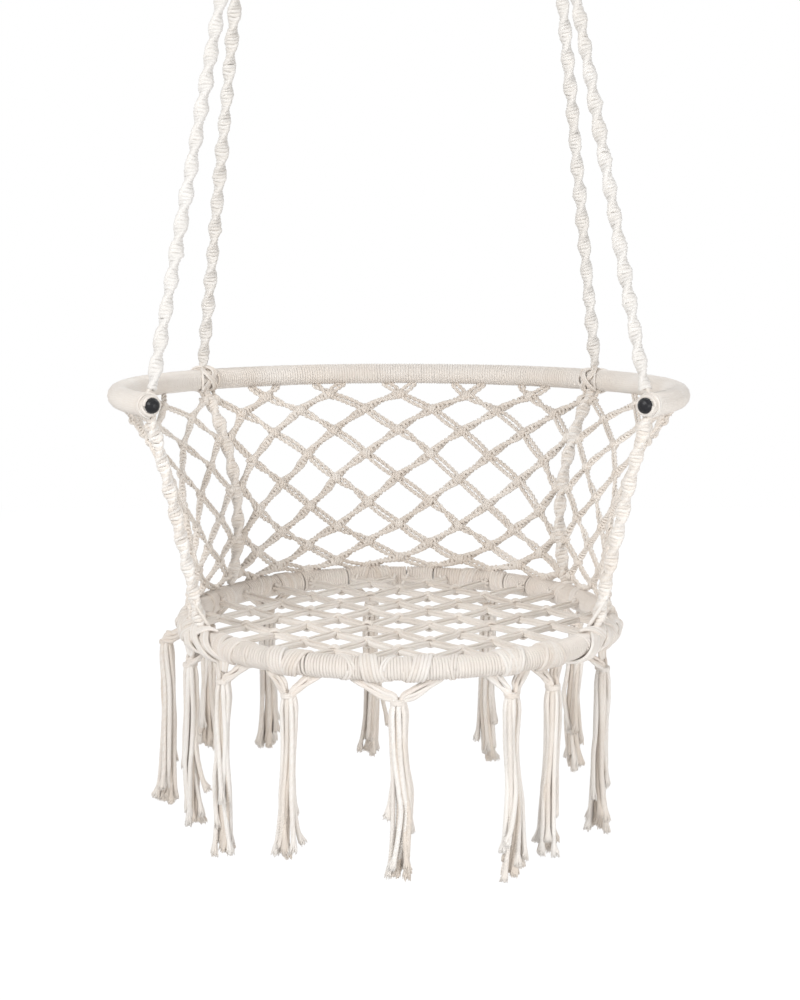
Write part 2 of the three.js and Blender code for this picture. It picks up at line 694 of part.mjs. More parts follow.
// Suspension ropes: straight and taut from the lashings on the hoop to the neck of the eye
const tipArc = steps(0, Math.PI / 2, ropeTipRuns).map((angle) => [
  ropeRadius * Math.cos(angle),
  ropeRadius * Math.sin(angle),
]);
tipArc[ropeTipRuns][0] = 0;
const ropeProfile = (length) => [
  ...tipArc.map(([r, h]) => [r, -h]).reverse(),
  ...tipArc.map(([r, h]) => [r, length + h]),
];
const neckMiddle = new THREE.Vector3(neckHalfSpacing, neckSetback, neckHeight);
const tipSeat = ropeRadius + hingeGap;
for (const [sideName, side] of [['left', -1], ['right', 1]]) {
  const mirror = new THREE.Vector3(side, 1, 1);
  for (const [place, hoopBearing, lean, spread] of [
    ['front', frontHoopBearing, frontFootLean, -ropeTipSpread],
    ['back', rearHoopBearing, 0, ropeTipSpread],
  ]) {
    const bearing = side * hoopBearing;
    const leanAngle = Math.PI / 2 + lean;
    const reach = stripReach(windingSides, lashingRadius, leanAngle, hingeGap) + tipSeat;
    const foot = centreAt(hoop, bearing).addScaledVector(sectionDirection(hoop, bearing, leanAngle), reach);
    const top = neckMiddle.clone().add(new THREE.Vector3(0, spread, 0)).multiply(mirror);
    const rope = turnedAlong(ropeProfile(top.distanceTo(foot)), ropeSides, foot, top);
    add(chair, `suspension_rope_${place}_${sideName}`, rope, cordLook);
  }
}

// Eyes: a bound neck over the rope tips and a loop of rope over the wire of the hanging ring
const eyeWidth = 2 * eyeRopeRadius;
const wireRise = eyeWidth * eyeWidth / (8 * ringRadius);
const eyeArcRadius = ringWireRadius + wireRise + seatGap + eyeRopeRadius;
const neckBottom = neckHeight + tipSeat;
const wireHeight = neckBottom + neckLength + eyeLegDrop;
function eyeSolid() {
  const arc = steps(0, Math.PI, eyeArcRuns)
    .map((angle) => new THREE.Vector3(0, Math.cos(angle), Math.sin(angle)).multiplyScalar(eyeArcRadius));
  const legEnd = new THREE.Vector3(0, 0, -eyeLegDrop - eyeRopeRadius);
  const path = [legEnd.clone().setY(eyeArcRadius), ...arc, legEnd.clone().setY(-eyeArcRadius)];
  const loop = taperedTube(path, path.map(() => eyeRopeRadius), eyeSides, new THREE.Vector3(1, 0, 0));
  const neck = turnedAlong([
    [0, 0],
    [neckRadius - neckShoulder / 2, 0],
    [neckRadius, neckShoulder],
    [neckRadius, neckLength - neckShoulder],
    [neckRadius - neckShoulder, neckLength],
    [0, neckLength],
  ], neckSides, new THREE.Vector3(0, 0, neckBottom - wireHeight), new THREE.Vector3());
  return joined([neck, loop]);
}
for (const [name, side] of [['left', -1], ['right', 1]]) {
  const eye = add(chair, `rope_eye_${name}`, eyeSolid(), cordLook);
  eye.position.set(side * neckHalfSpacing, neckSetback, wireHeight);
  const wire = new THREE.TorusGeometry(ringRadius, ringWireRadius, ringWireSides, ringSegments);
  const ring = add(chair, `hanging_ring_${name}`, wire, steelLook);
  ring.rotation.set(Math.PI / 2, 0, 0);
  ring.position.set(side * neckHalfSpacing, neckSetback, wireHeight + ringRadius);
}

// The origin is the point of the left hanging ring that bears on its hook
chair.position.set(neckHalfSpacing, -neckSetback, -(wireHeight + 2 * ringRadius - ringWireRadius));
const part = new THREE.Group();
part.add(chair);
part.updateMatrixWorld(true);

export default part;
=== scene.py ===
import math

import bpy
import numpy as np
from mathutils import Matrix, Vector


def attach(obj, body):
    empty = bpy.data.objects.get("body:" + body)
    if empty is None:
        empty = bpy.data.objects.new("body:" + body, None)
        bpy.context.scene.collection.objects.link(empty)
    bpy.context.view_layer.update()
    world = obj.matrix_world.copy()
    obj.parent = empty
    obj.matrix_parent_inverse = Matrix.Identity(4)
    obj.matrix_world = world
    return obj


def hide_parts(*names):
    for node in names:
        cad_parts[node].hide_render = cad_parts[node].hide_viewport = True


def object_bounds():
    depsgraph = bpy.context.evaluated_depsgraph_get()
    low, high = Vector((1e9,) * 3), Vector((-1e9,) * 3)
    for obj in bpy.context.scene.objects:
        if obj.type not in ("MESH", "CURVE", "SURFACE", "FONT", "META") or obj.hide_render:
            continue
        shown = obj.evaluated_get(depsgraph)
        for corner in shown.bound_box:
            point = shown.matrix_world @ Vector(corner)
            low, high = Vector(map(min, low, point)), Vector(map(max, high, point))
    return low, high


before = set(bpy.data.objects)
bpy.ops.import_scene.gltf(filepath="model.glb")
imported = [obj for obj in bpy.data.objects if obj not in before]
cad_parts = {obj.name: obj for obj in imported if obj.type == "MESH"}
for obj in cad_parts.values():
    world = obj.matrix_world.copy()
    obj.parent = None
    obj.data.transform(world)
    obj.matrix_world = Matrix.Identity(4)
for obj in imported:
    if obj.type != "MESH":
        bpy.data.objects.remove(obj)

cad_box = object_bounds()
MM = 0.001
TURN = 2 * math.pi

# Sizes of the frame, as in the part's source
SEAT_RADIUS = 304 * MM
HOOP_RADIUS = 400 * MM
HOOP_HEIGHT = 331.5 * MM
HOOP_SETBACK = 5 * MM
HOOP_TILT = math.radians(2.5)
HOOP_END = 124.2
FRONT_ON_HOOP = 122.2
REAR_ON_HOOP = 49.5
FRONT_ON_SEAT = 116
REAR_ON_SEAT = 57
WINDING_RADIUS = 16.5 * MM
LASHING_RADIUS = 20 * MM
NECK_HALF_SPACING = 212 * MM
NECK_SETBACK = 69.6 * MM
NECK_HEIGHT = 1100 * MM
NECK_LENGTH = 50 * MM
EYE_LEG_DROP = 22 * MM
ROPE_TIP_SPREAD = 10 * MM
ROPE_TIP_SEAT = 9.5 * MM
FRONT_FOOT_LEAN = math.radians(18)
RING_RADIUS = 27 * MM
RING_WIRE = 3 * MM
WAIST_BEARINGS = (0, REAR_ON_SEAT, 86, 104, FRONT_ON_SEAT)
WAIST_DEPTHS = (28 * MM, 37 * MM, 36 * MM, 43 * MM, 2 * MM)
WIRE_HEIGHT = NECK_HEIGHT + ROPE_TIP_SEAT + NECK_LENGTH + EYE_LEG_DROP
SEAT_CENTRE = np.array([
    NECK_HALF_SPACING,
    -NECK_SETBACK,
    -(WIRE_HEIGHT + 2 * RING_RADIUS - RING_WIRE),
])
UP = np.array([0.0, 0.0, 1.0])
SIDES = (("left", -1), ("right", 1))


def unit(v):
    v = np.asarray(v, float)
    return v / np.linalg.norm(v, axis=-1, keepdims=True)


class Ring:
    """A round of tube. Bearings run in degrees from the back of the chair, so that 90 is its right side."""

    def __init__(self, radius, centre, tilt):
        self.radius, self.centre, self.tilt = radius, SEAT_CENTRE + centre, tilt
        self.up = np.array([0, math.sin(tilt), math.cos(tilt)])

    def radial(self, bearing):
        a = np.radians(np.asarray(bearing, float))
        forward = np.cos(a)
        return np.stack([
            np.sin(a), forward * math.cos(self.tilt), -forward * math.sin(self.tilt),
        ], -1)

    def tangent(self, bearing):
        return np.cross(self.radial(bearing), self.up)

    def middle(self, bearing):
        return self.centre + self.radius * self.radial(bearing)

    def way(self, bearing, angle):
        """A direction across the tube, where angle 0 is outward and a quarter turn is up."""
        angle = np.asarray(angle, float)[..., None]
        return self.radial(bearing) * np.cos(angle) + self.up * np.sin(angle)

    def on(self, bearing, angle, reach):
        return self.middle(bearing) + self.way(bearing, angle) * np.asarray(reach, float)[..., None]

    def angle_toward(self, bearing, way):
        return math.atan2(np.dot(way, self.up), np.dot(way, self.radial(bearing)))

    def turn_of(self, length):
        """The bearing that a length along the tube covers."""
        return math.degrees(length / self.radius)


seat = Ring(SEAT_RADIUS, np.zeros(3), 0)
hoop = Ring(HOOP_RADIUS, np.array([0, HOOP_SETBACK, HOOP_HEIGHT]), HOOP_TILT)


def carried(ahead, first):
    """Side vectors that follow a line without turning about it."""
    across = np.empty_like(ahead)
    side = np.asarray(first, float)
    for i, way in enumerate(ahead):
        side = side - way * side.dot(way)
        side /= math.sqrt(side.dot(side))
        across[i] = side
    return across


def any_side(way):
    return np.cross(way, (1, 0, 0) if abs(way[0]) < 0.8 else (0, 1, 0))


class Route:
    """A smooth line through points, read by the length along it."""

    def __init__(self, points, first=None, step=1.5 * MM):
        p = np.asarray(points, float)
        if len(p) > 2:
            p = np.vstack([2 * p[0] - p[1], p, 2 * p[-1] - p[-2]])
            t = np.linspace(0, 1, 24, endpoint=False)[:, None]
            fine = [
                0.5 * (2 * b + (c - a) * t + (2 * a - 5 * b + 4 * c - d) * t**2
                       + (3 * b - a - 3 * c + d) * t**3)
                for a, b, c, d in zip(p, p[1:], p[2:], p[3:])
            ]
            p = np.vstack([*fine, p[-2:-1]])
        far = np.concatenate([[0], np.cumsum(np.linalg.norm(np.diff(p, axis=0), axis=1))])
        self.length = float(far[-1])
        self.s = np.linspace(0, self.length, max(3, int(self.length / step)))
        self.points = np.stack([np.interp(self.s, far, p[:, k]) for k in range(3)], -1)
        self.ahead = unit(np.gradient(self.points, axis=0))
        self.across = carried(self.ahead, any_side(self.ahead[0]) if first is None else first)
        self.third = np.cross(self.ahead, self.across)

    def read(self, s, rows):
        return np.stack([np.interp(s, self.s, rows[:, k]) for k in range(3)], -1)

    def beside(self, s, x, y):
        """Points off the line by x along its side vector and y along the third."""
        x, y = np.asarray(x, float)[..., None], np.asarray(y, float)[..., None]
        return self.read(s, self.points) + self.read(s, self.across) * x + self.read(s, self.third) * y


class Strands:
    """Cords collected into one mesh, with their length and their round as UV and a tone for each cord, which
    for some cords is painted shade.
    """

    def __init__(self, seed):
        self.random = np.random.default_rng(seed)
        self.places, self.corners, self.counts, self.maps, self.tones_and_shades = [], [], [], [], []
        self.total = 0

    def tube(self, path, radius, sides=8, side=None, flat=1.0, tone_and_shade=None):
        """Adds one cord with closed ends. Its points are the middle of the cord."""
        path = np.asarray(path, float)
        n = len(path)
        radius = np.broadcast_to(np.asarray(radius, float), n)
        ahead = unit(np.gradient(path, axis=0))
        if side is None:
            side = carried(ahead, any_side(ahead[0]))
        else:
            side = np.broadcast_to(side, path.shape)
            side = unit(side - ahead * (side * ahead).sum(1, keepdims=True))
        third = np.cross(ahead, side)
        a = TURN * np.arange(sides) / sides
        around = np.cos(a)[:, None] * side[:, None] + flat * np.sin(a)[:, None] * third[:, None]
        self.places.append((path[:, None] + radius[:, None, None] * around).reshape(-1, 3))
        self.tones_and_shades.append(np.full(n * sides, self.random.uniform() if tone_and_shade is None else tone_and_shade))
        i, j = np.meshgrid(np.arange(n - 1), np.arange(sides), indexing="ij")
        k = (j + 1) % sides
        quads = np.stack([i * sides + j, i * sides + k, (i + 1) * sides + k, (i + 1) * sides + j], -1)
        far = np.concatenate([[0], np.cumsum(np.linalg.norm(np.diff(path, axis=0), axis=1))])
        far = far + self.random.uniform()
        u = np.stack([far[i], far[i], far[i + 1], far[i + 1]], -1)
        v = np.stack([j, j + 1, j + 1, j], -1) / sides
        ends = np.concatenate([np.arange(sides)[::-1], (n - 1) * sides + np.arange(sides)])
        self.corners += [quads.ravel() + self.total, ends + self.total]
        self.maps += [np.stack([u, v], -1).reshape(-1, 2), np.repeat([[far[0], 0], [far[-1], 0]], sides, 0)]
        self.counts += [np.full(quads.size // 4, 4), np.array([sides, sides])]
        self.total += n * sides

    def made(self, name, material, body, replaced=()):
        """All cords as one piece that rides a body and takes the place of CAD nodes."""
        places, corners = np.concatenate(self.places), np.concatenate(self.corners)
        counts = np.concatenate(self.counts)
        mesh = bpy.data.meshes.new(name)
        mesh.vertices.add(len(places))
        mesh.vertices.foreach_set("co", places.ravel())
        mesh.loops.add(len(corners))
        mesh.loops.foreach_set("vertex_index", corners.astype(np.int32))
        mesh.polygons.add(len(counts))
        starts = np.concatenate([[0], np.cumsum(counts)[:-1]])
        mesh.polygons.foreach_set("loop_start", starts.astype(np.int32))
        mesh.update(calc_edges=True)
        mesh.polygons.foreach_set("use_smooth", np.ones(len(counts), bool))
        mesh.uv_layers.new(name="Cord").data.foreach_set("uv", np.concatenate(self.maps).ravel())
        mesh.attributes.new("tone_and_shade", "FLOAT", "POINT").data.foreach_set("value", np.concatenate(self.tones_and_shades))
        mesh.materials.append(material)
        piece = bpy.data.objects.new(name, mesh)
        bpy.context.collection.objects.link(piece)
        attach(piece, body)
        if replaced:
            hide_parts(*replaced)
        return piece


class Nodes:
    """Short forms for the nodes of one material."""

    def __init__(self, name):
        self.material = bpy.data.materials.new(name)
        self.material.use_nodes = True
        self.tree = self.material.node_tree
        self.shader = self.tree.nodes["Principled BSDF"]

    def add(self, kind, **settings):
        node = self.tree.nodes.new(kind)
        for key, value in settings.items():
            if hasattr(node, key):
                setattr(node, key, value)
            else:
                node.inputs[key.replace("_", " ")].default_value = value
        return node

    def link(self, out, into):
        self.tree.links.new(out, into)

    def maths(self, operation, *values):
        node = self.add("ShaderNodeMath", operation=operation)
        for place, value in enumerate(values):
            if isinstance(value, (int, float)):
                node.inputs[place].default_value = value
            else:
                self.link(value, node.inputs[place])
        return node.outputs[0]

    def ramp(self, value, *stops):
        """A colour between two stops, each a place from 0 to 1 and a colour."""
        node = self.add("ShaderNodeValToRGB")
        for element, stop in zip(node.color_ramp.elements, stops):
            element.position, element.color = stop
        self.link(value, node.inputs["Fac"])
        return node.outputs["Color"]


# Painted shade: the share of the shade colour that a material gains for each metre behind a plane across the
# chair, as the light falls off towards the back
BACK_SHADE = 0.24
BACK_SHADE_START = 250 * MM


def cord_material(name, light, dark, lay, plies, depth, back_shade=BACK_SHADE):
    """Cotton cord: twisted plies, fine fibres along them, a slow drift of colour and painted shade that
    deepens towards the back of the chair.
    """
    n = Nodes(name)
    uv = n.add("ShaderNodeUVMap", uv_map="Cord").outputs["UV"]
    split = n.add("ShaderNodeSeparateXYZ")
    n.link(uv, split.inputs[0])
    along, round_share = split.outputs["X"], split.outputs["Y"]
    phase = n.maths("ADD", n.maths("MULTIPLY", along, plies / lay), n.maths("MULTIPLY", round_share, plies))
    wave = n.maths("SINE", n.maths("MULTIPLY", phase, TURN))
    ply = n.maths("POWER", n.maths("ABSOLUTE", n.maths("SINE", n.maths("MULTIPLY", phase, math.pi))), 0.6)
    stretch = n.add("ShaderNodeCombineXYZ")
    n.link(n.maths("MULTIPLY", phase, 9.0), stretch.inputs[0])
    n.link(n.maths("MULTIPLY", along, 260.0), stretch.inputs[1])
    fibre = n.add("ShaderNodeTexNoise", Scale=1.0, Detail=4.0, Roughness=0.65)
    n.link(stretch.outputs[0], fibre.inputs["Vector"])
    place = n.add("ShaderNodeTexCoord").outputs["Object"]
    drift = n.add("ShaderNodeTexNoise", Scale=14.0, Detail=3.0)
    n.link(place, drift.inputs["Vector"])
    tone_and_shade = n.add("ShaderNodeAttribute", attribute_name="tone_and_shade").outputs["Fac"]
    mixed = n.maths("ADD", n.maths("MULTIPLY", drift.outputs["Fac"], 0.55), n.maths("MULTIPLY", tone_and_shade, 0.3))
    # Painted shade: the colour moves towards its dark end behind a plane across the chair
    depth_of = n.add("ShaderNodeSeparateXYZ")
    n.link(place, depth_of.inputs[0])
    toward_back = n.maths("ADD", depth_of.outputs["Y"], BACK_SHADE_START)
    mixed = n.maths("SUBTRACT", mixed, n.maths("MULTIPLY", toward_back, back_shade))
    mixed = n.maths("ADD", mixed, n.maths("MULTIPLY", wave, 0.05))
    mixed = n.maths("ADD", mixed, n.maths("MULTIPLY", fibre.outputs["Fac"], 0.18))
    n.link(n.ramp(mixed, (0.25, dark), (0.75, light)), n.shader.inputs["Base Color"])
    height = n.maths("ADD", n.maths("MULTIPLY", ply, 0.75), n.maths("MULTIPLY", fibre.outputs["Fac"], 0.35))
    bump = n.add("ShaderNodeBump", Strength=0.6, Distance=depth)
    n.link(height, bump.inputs["Height"])
    n.link(bump.outputs[0], n.shader.inputs["Normal"])
    n.shader.inputs["Roughness"].default_value = 0.95
    n.shader.inputs["Specular IOR Level"].default_value = 0.15
    n.shader.inputs["Sheen Weight"].default_value = 0.25
    n.shader.inputs["Sheen Roughness"].default_value = 0.6
    return n.material


# Light and dark ends of each cord's colour. Random tone and fibre noise move between them, and the dark end
# also gives painted shade
COTTON = (0.875, 0.846, 0.812, 1)
COTTON_SHADE = (0.74, 0.665, 0.59, 1)
WARM = (0.87, 0.822, 0.768, 1)
WARM_SHADE = (0.72, 0.65, 0.58, 1)
HOOP = (0.856, 0.826, 0.792, 1)
# Painted shade: the seat ring's cord is a darker, warmer copy of the cotton, for the shade it sits in low
# under the seat net
SHADED_RING = (0.812, 0.772, 0.731, 1)
RING_SHADE = (0.71, 0.63, 0.555, 1)
ROPE = (0.815, 0.796, 0.773, 1)
ROPE_SHADE = (0.70, 0.66, 0.61, 1)
cotton = cord_material("cotton_cord", COTTON, COTTON_SHADE, 9 * MM, 3, 0.22 * MM)
rope_cotton = cord_material("rope_cord", ROPE, ROPE_SHADE, 9 * MM, 3, 0.22 * MM)
# The hoop takes only a little of the painted shade towards the back
hoop_cotton = cord_material("hoop_cord", HOOP, COTTON_SHADE, 6 * MM, 2, 0.3 * MM, back_shade=0.04)
# Painted shade: a darker copy of the cotton for the seat ring's winding, its ties and the hitches
shaded_ring_cotton = cord_material("shaded_ring_cord", SHADED_RING, RING_SHADE, 6 * MM, 2, 0.3 * MM)
net_cotton = cord_material("net_cord", WARM, WARM_SHADE, 7 * MM, 3, 0.45 * MM)

# Camera, solved from the two rings as the photograph shows them
CAMERA_PLACE = SEAT_CENTRE + np.array([1.8, -3200, 722.5]) * MM
CAMERA_PITCH = 0.1693
PHOTO_WIDTH_PX = 800
FOCAL_PX = 2239.2
camera = bpy.data.objects.new("camera", bpy.data.cameras.new("camera"))
camera.location = CAMERA_PLACE
camera.rotation_euler = (math.pi / 2 - CAMERA_PITCH, 0, 0)
camera.data.sensor_fit = "HORIZONTAL"
camera.data.lens = camera.data.sensor_width * FOCAL_PX / PHOTO_WIDTH_PX
bpy.context.collection.objects.link(camera)
bpy.context.scene.camera = camera


# Points for each rise of a sennit, and the length between points of its core
SENNIT_STEPS = 16
CORE_STEP = 4 * MM


def sennit(strands, route, turn, rise, wide, thin, cord, start, ends, core):
    """Two cords knotted round a flat core that turns as it goes, like a ladder twisted along its length."""
    steps = int(route.length / rise * SENNIT_STEPS)
    s = np.linspace(0, route.length, steps)
    share = s / route.length
    size = np.interp(share, (0, 0.05, 0.95, 1), (ends[0], 1, 1, ends[1]))
    twist = TURN * s / turn + start
    uneven = 1 + 0.06 * np.sin(TURN * s / (2.6 * turn) + start) + 0.03 * np.sin(TURN * s / (0.37 * turn))
    ribs = np.arange(0, route.length + rise, rise / 2)
    for k in range(2):
        loose = np.interp(s, ribs, strands.random.normal(0, 0.07, len(ribs)))
        slid = np.interp(s, ribs, strands.random.normal(0, 0.04 * rise, len(ribs)))
        angle = TURN * s / rise + k * math.pi
        across = np.sign(np.cos(angle)) * np.abs(np.cos(angle)) ** 0.8
        x = wide * size * (uneven + loose) * across
        y = thin * size * (uneven + loose) * np.sin(angle)
        slant = s + 0.12 * rise * np.sin(2 * angle) + slid
        path = route.beside(
            np.clip(slant, 0, route.length),
            x * np.cos(twist) - y * np.sin(twist),
            x * np.sin(twist) + y * np.cos(twist),
        )
        strands.tube(path, cord * (1 + 0.05 * np.sin(3 * angle)), tone_and_shade=strands.random.uniform())
    s = np.linspace(0, route.length, max(8, int(route.length / CORE_STEP)))
    twist = TURN * s / turn + start
    for k in (-1, 1):
        strands.tube(route.beside(s, k * core * np.cos(twist), k * core * np.sin(twist)), core, 6)


# Suspension ropes: knotted spiral sennits, taut between the hoop and the necks of the eyes
ROPE_TURN = 82 * MM
ROPE_RISE = 11.6 * MM
ROPE_WIDE = 7.2 * MM
ROPE_THIN = 3.3 * MM
ROPE_CORD = 3.5 * MM
ROPE_CORE = 2.4 * MM
HIDDEN_SHARE = 0.85


def neck(side, spread):
    """Where the upper tip of a rope ends in the neck of its eye."""
    return SEAT_CENTRE + np.array([side * NECK_HALF_SPACING, NECK_SETBACK + spread, NECK_HEIGHT])


def suspension_rope(place, name, side, bearing, lean, spread, seed):
    """One taut rope, with both tips hidden in its lashing and in the neck of its eye."""
    foot = hoop.on(side * bearing, math.pi / 2 + lean, LASHING_RADIUS + ROPE_TIP_SEAT)
    top = neck(side, spread)
    ahead = unit(top - foot)
    line = [foot - ahead * ROPE_TIP_SEAT * HIDDEN_SHARE, top + ahead * ROPE_TIP_SEAT * HIDDEN_SHARE]
    route = Route(line, first=(1, 0, 0))
    strands = Strands(seed)
    sennit(strands, route, ROPE_TURN, ROPE_RISE, ROPE_WIDE, ROPE_THIN, ROPE_CORD,
           start=seed, ends=(0.75, 0.35), core=ROPE_CORE)
    node = f"suspension_rope_{place}_{name}"
    return strands.made(f"rope_{place}_{name}", rope_cotton, f"{name}_ropes", [node]), route, line


for name, side in SIDES:
    for place, bearing, lean, spread, seed in (
        ("front", FRONT_ON_HOOP, FRONT_FOOT_LEAN, -ROPE_TIP_SPREAD, 2 + side),
        ("back", REAR_ON_HOOP, 0, ROPE_TIP_SPREAD, 6 + side),
    ):
        suspension_rope(place, name, side, bearing, lean, spread, seed)


WHIPPING_STEPS = 16


def whipping(strands, route, radius, cord, start, stop, sides=6):
    """A cord wound in close turns about a route from one length to another."""
    turns = max(1, round((stop - start) / (2 * cord)))
    t = np.linspace(0, 1, turns * WHIPPING_STEPS + 1)
    s = start + cord + (stop - start - 2 * cord) * t
    reach = np.broadcast_to(radius(t) if callable(radius) else radius, t.shape)
    a = TURN * turns * t
    x, y = reach * np.cos(a), reach * np.sin(a)
    side = route.read(s, route.across) * np.cos(a)[:, None] + route.read(s, route.third) * np.sin(a)[:, None]
    strands.tube(route.beside(s, x, y), cord, sides, side=side)


# Rope eyes: a whipped neck over the ends of two ropes, and a loop of two cords over the ring
EYE_CORD = 2.5 * MM
EYE_ARC = 8.8 * MM
EYE_ARC_POINTS = 17
EYE_CORD_SHIFT = 2.4 * MM
NECK_RADIUS = 16.5 * MM
NECK_TAPER = 10 * MM
NECK_TAPER_FROM = 0.75
NECK_CORD = 2.6 * MM
NECK_CORE = (15 * MM, 11 * MM)
COLLAR_TOP = 14 * MM
COLLAR_RADIUS = 11 * MM
COLLAR_CORD = 1.7 * MM


def rope_eye(name, side, seed):
    """The neck, the loop and the collar between them."""
    strands = Strands(seed)
    wire = SEAT_CENTRE + np.array([side * NECK_HALF_SPACING, NECK_SETBACK, WIRE_HEIGHT])
    low = wire - UP * (NECK_LENGTH + EYE_LEG_DROP)
    neck_route = Route([low, low + UP * NECK_LENGTH], first=(1, 0, 0))
    whipping(strands, neck_route, lambda t: NECK_RADIUS - NECK_TAPER * np.clip(t - NECK_TAPER_FROM, 0, 1),
             NECK_CORD, 1 * MM, NECK_LENGTH - 4 * MM)
    strands.tube([low + UP * 1.5 * MM, low + UP * (NECK_LENGTH - 2 * MM)], NECK_CORE, 16)
    a = np.linspace(0, math.pi, EYE_ARC_POINTS)
    for shift in (-EYE_CORD_SHIFT, EYE_CORD_SHIFT):
        arc = np.stack([np.full(EYE_ARC_POINTS, shift), EYE_ARC * np.cos(a), EYE_ARC * np.sin(a)], -1)
        legs = np.array([[shift * 1.2, 6.5 * MM, -EYE_LEG_DROP - 4 * MM], [shift, 8.2 * MM, -9 * MM]])
        back = legs[::-1] * (1, -1, 1)
        strands.tube(Route(wire + np.vstack([legs, arc, back]), step=1 * MM).points, EYE_CORD)
    collar = Route([wire - UP * EYE_LEG_DROP, wire - UP * COLLAR_TOP], first=(1, 0, 0))
    whipping(strands, collar, COLLAR_RADIUS, COLLAR_CORD, 0, EYE_LEG_DROP - COLLAR_TOP)
    return strands.made(f"eye_{name}", rope_cotton, "rope_eyes", [f"rope_eye_{name}"])


for name, side in SIDES:
    eye = rope_eye(name, side, 20 + side)


# Windings of the two rings. Slits are given by their bearings
WINDING_PITCH = 4.3 * MM
WINDING_CORD = 2.55 * MM
WINDING_STEPS = 14
TAPER_LENGTH = 12 * MM
HOOP_END_TAPER = 1.6 * MM
SLIT_SHARE = 0.62
HOOP_SLITS = (45,)
SEAT_SLITS = (151, 204, *range(283, 440, 10))


def winding(name, ring, first, last, seed, node, material, end_taper=0.0, slits=()):
    """One cord wound closely all along a ring, with some slits on its inner face where two turns part."""
    strands = Strands(seed)
    length = math.radians(last - first) * ring.radius
    turns = int(length / WINDING_PITCH)
    t = np.arange(turns * WINDING_STEPS + 1) / WINDING_STEPS
    jitter = np.interp(t, np.arange(turns + 2), np.cumsum(strands.random.normal(0, 0.06, turns + 2)) * 0.5)
    for place in slits:
        turn = round((place - first) / (last - first) * turns + strands.random.uniform(-4, 4)) + 0.5
        jitter += SLIT_SHARE * np.clip(t - turn - strands.random.normal(0, 0.08), 0, 1)
    jitter -= np.interp(t, (0, turns), jitter[[0, -1]])
    bearing = first + (last - first) * np.clip((t + jitter) / turns, 0, 1)
    loose = np.interp(t, np.arange(turns + 2), strands.random.normal(0, 0.12 * MM, turns + 2))
    angle = TURN * t
    from_end = np.minimum(t, turns - t) * WINDING_PITCH
    reach = WINDING_RADIUS - WINDING_CORD + loose - end_taper * np.clip(1 - from_end / TAPER_LENGTH, 0, 1)
    path = ring.on(bearing, angle, reach)
    strands.tube(path, WINDING_CORD, 6, side=ring.way(bearing, angle), flat=0.92, tone_and_shade=0.5)
    strands.made(name, material, "chair", [node])


winding("hoop_winding", hoop, -HOOP_END, HOOP_END, 31, "back_hoop_winding", hoop_cotton,
        end_taper=HOOP_END_TAPER, slits=HOOP_SLITS)
winding("seat_winding", seat, 100, 460, 32, "seat_ring_winding", shaded_ring_cotton, slits=SEAT_SLITS)


def ring_wraps(strands, ring, bearing, count, cord, slant):
    """A few turns of cord sunk in a winding, shifted along it by the slant from side to side."""
    t = np.linspace(0, count, count * 20 + 1)
    angle = TURN * t
    offset = (t - count / 2) * 2 * cord + slant * np.cos(angle)
    b = bearing + np.degrees(offset / ring.radius)
    strands.tube(ring.on(b, angle, WINDING_RADIUS - cord * 0.4), cord, 8, side=ring.way(b, angle))


# Ropes between the rings, and their lashings by half width, cord and rise
LOWER_TURN = 78 * MM
REAR_LASHING = (11 * MM, 1.9 * MM, 1.0)
FRONT_LASHING = (3 * MM, 1.3 * MM, -0.45)


def lower_line(side, on_seat, on_hoop):
    """Both ends of a straight line from ring to ring, and the way in to the middle of the chair."""
    low_mid, high_mid = seat.middle(side * on_seat), hoop.middle(side * on_hoop)
    seat_angle = seat.angle_toward(side * on_seat, high_mid - low_mid)
    hoop_angle = hoop.angle_toward(side * on_hoop, low_mid - high_mid)
    low = seat.on(side * on_seat, seat_angle, WINDING_RADIUS)
    high = hoop.on(side * on_hoop, hoop_angle, WINDING_RADIUS)
    inward = -seat.radial(side * (on_seat + on_hoop) / 2)
    return low, high, inward


def netted(low, high, inward, share, on_seat):
    """A point on such a line by its share of the height, drawn in by the waist of the nets."""
    share = np.asarray(share, float)[..., None]
    waist = np.interp(abs(on_seat), WAIST_BEARINGS, WAIST_DEPTHS)
    return low + (high - low) * share + inward * waist * 4 * share * (1 - share)


def lashing(name, bearing, half_width, cord, rise, tip, seed):
    """Cords that leave the tip of a rope and weave in a figure of eight over both faces of the hoop.

    The rise is in radii of the cord above the winding. A negative rise sinks the cords into it.
    """
    strands = Strands(seed)
    along, out = hoop.tangent(bearing), hoop.radial(bearing)
    t = np.linspace(0, 1, 25)
    for turn in (-1, 1):
        angle = math.pi / 2 + turn * math.pi * t
        for way in (-1, 1):
            for k in (-1, 0, 1):
                wide = half_width * strands.random.uniform(0.85, 1.15)
                woven = way * wide * np.sin(TURN * t) + k * 1.9 * cord
                over = rise * (1.25 + 0.95 * way * turn * np.cos(TURN * t))
                path = hoop.on(bearing + np.degrees(woven / hoop.radius), angle, WINDING_RADIUS + cord * over)
                start = tip + along * k * 1.3 * cord - out * turn * 1.2 * cord
                strands.tube(Route([start, *path], step=2 * MM).points, cord, 8)
            bow = way * half_width * (0.25 + 1.45 * np.sin(math.pi * t))
            path = hoop.on(bearing + np.degrees(bow / hoop.radius), angle, WINDING_RADIUS + cord * 0.5 * rise)
            strands.tube(path, cord, 8)
    strands.made(f"lashing_{name}", cotton, "chair", [f"hoop_lashing_{name}"])


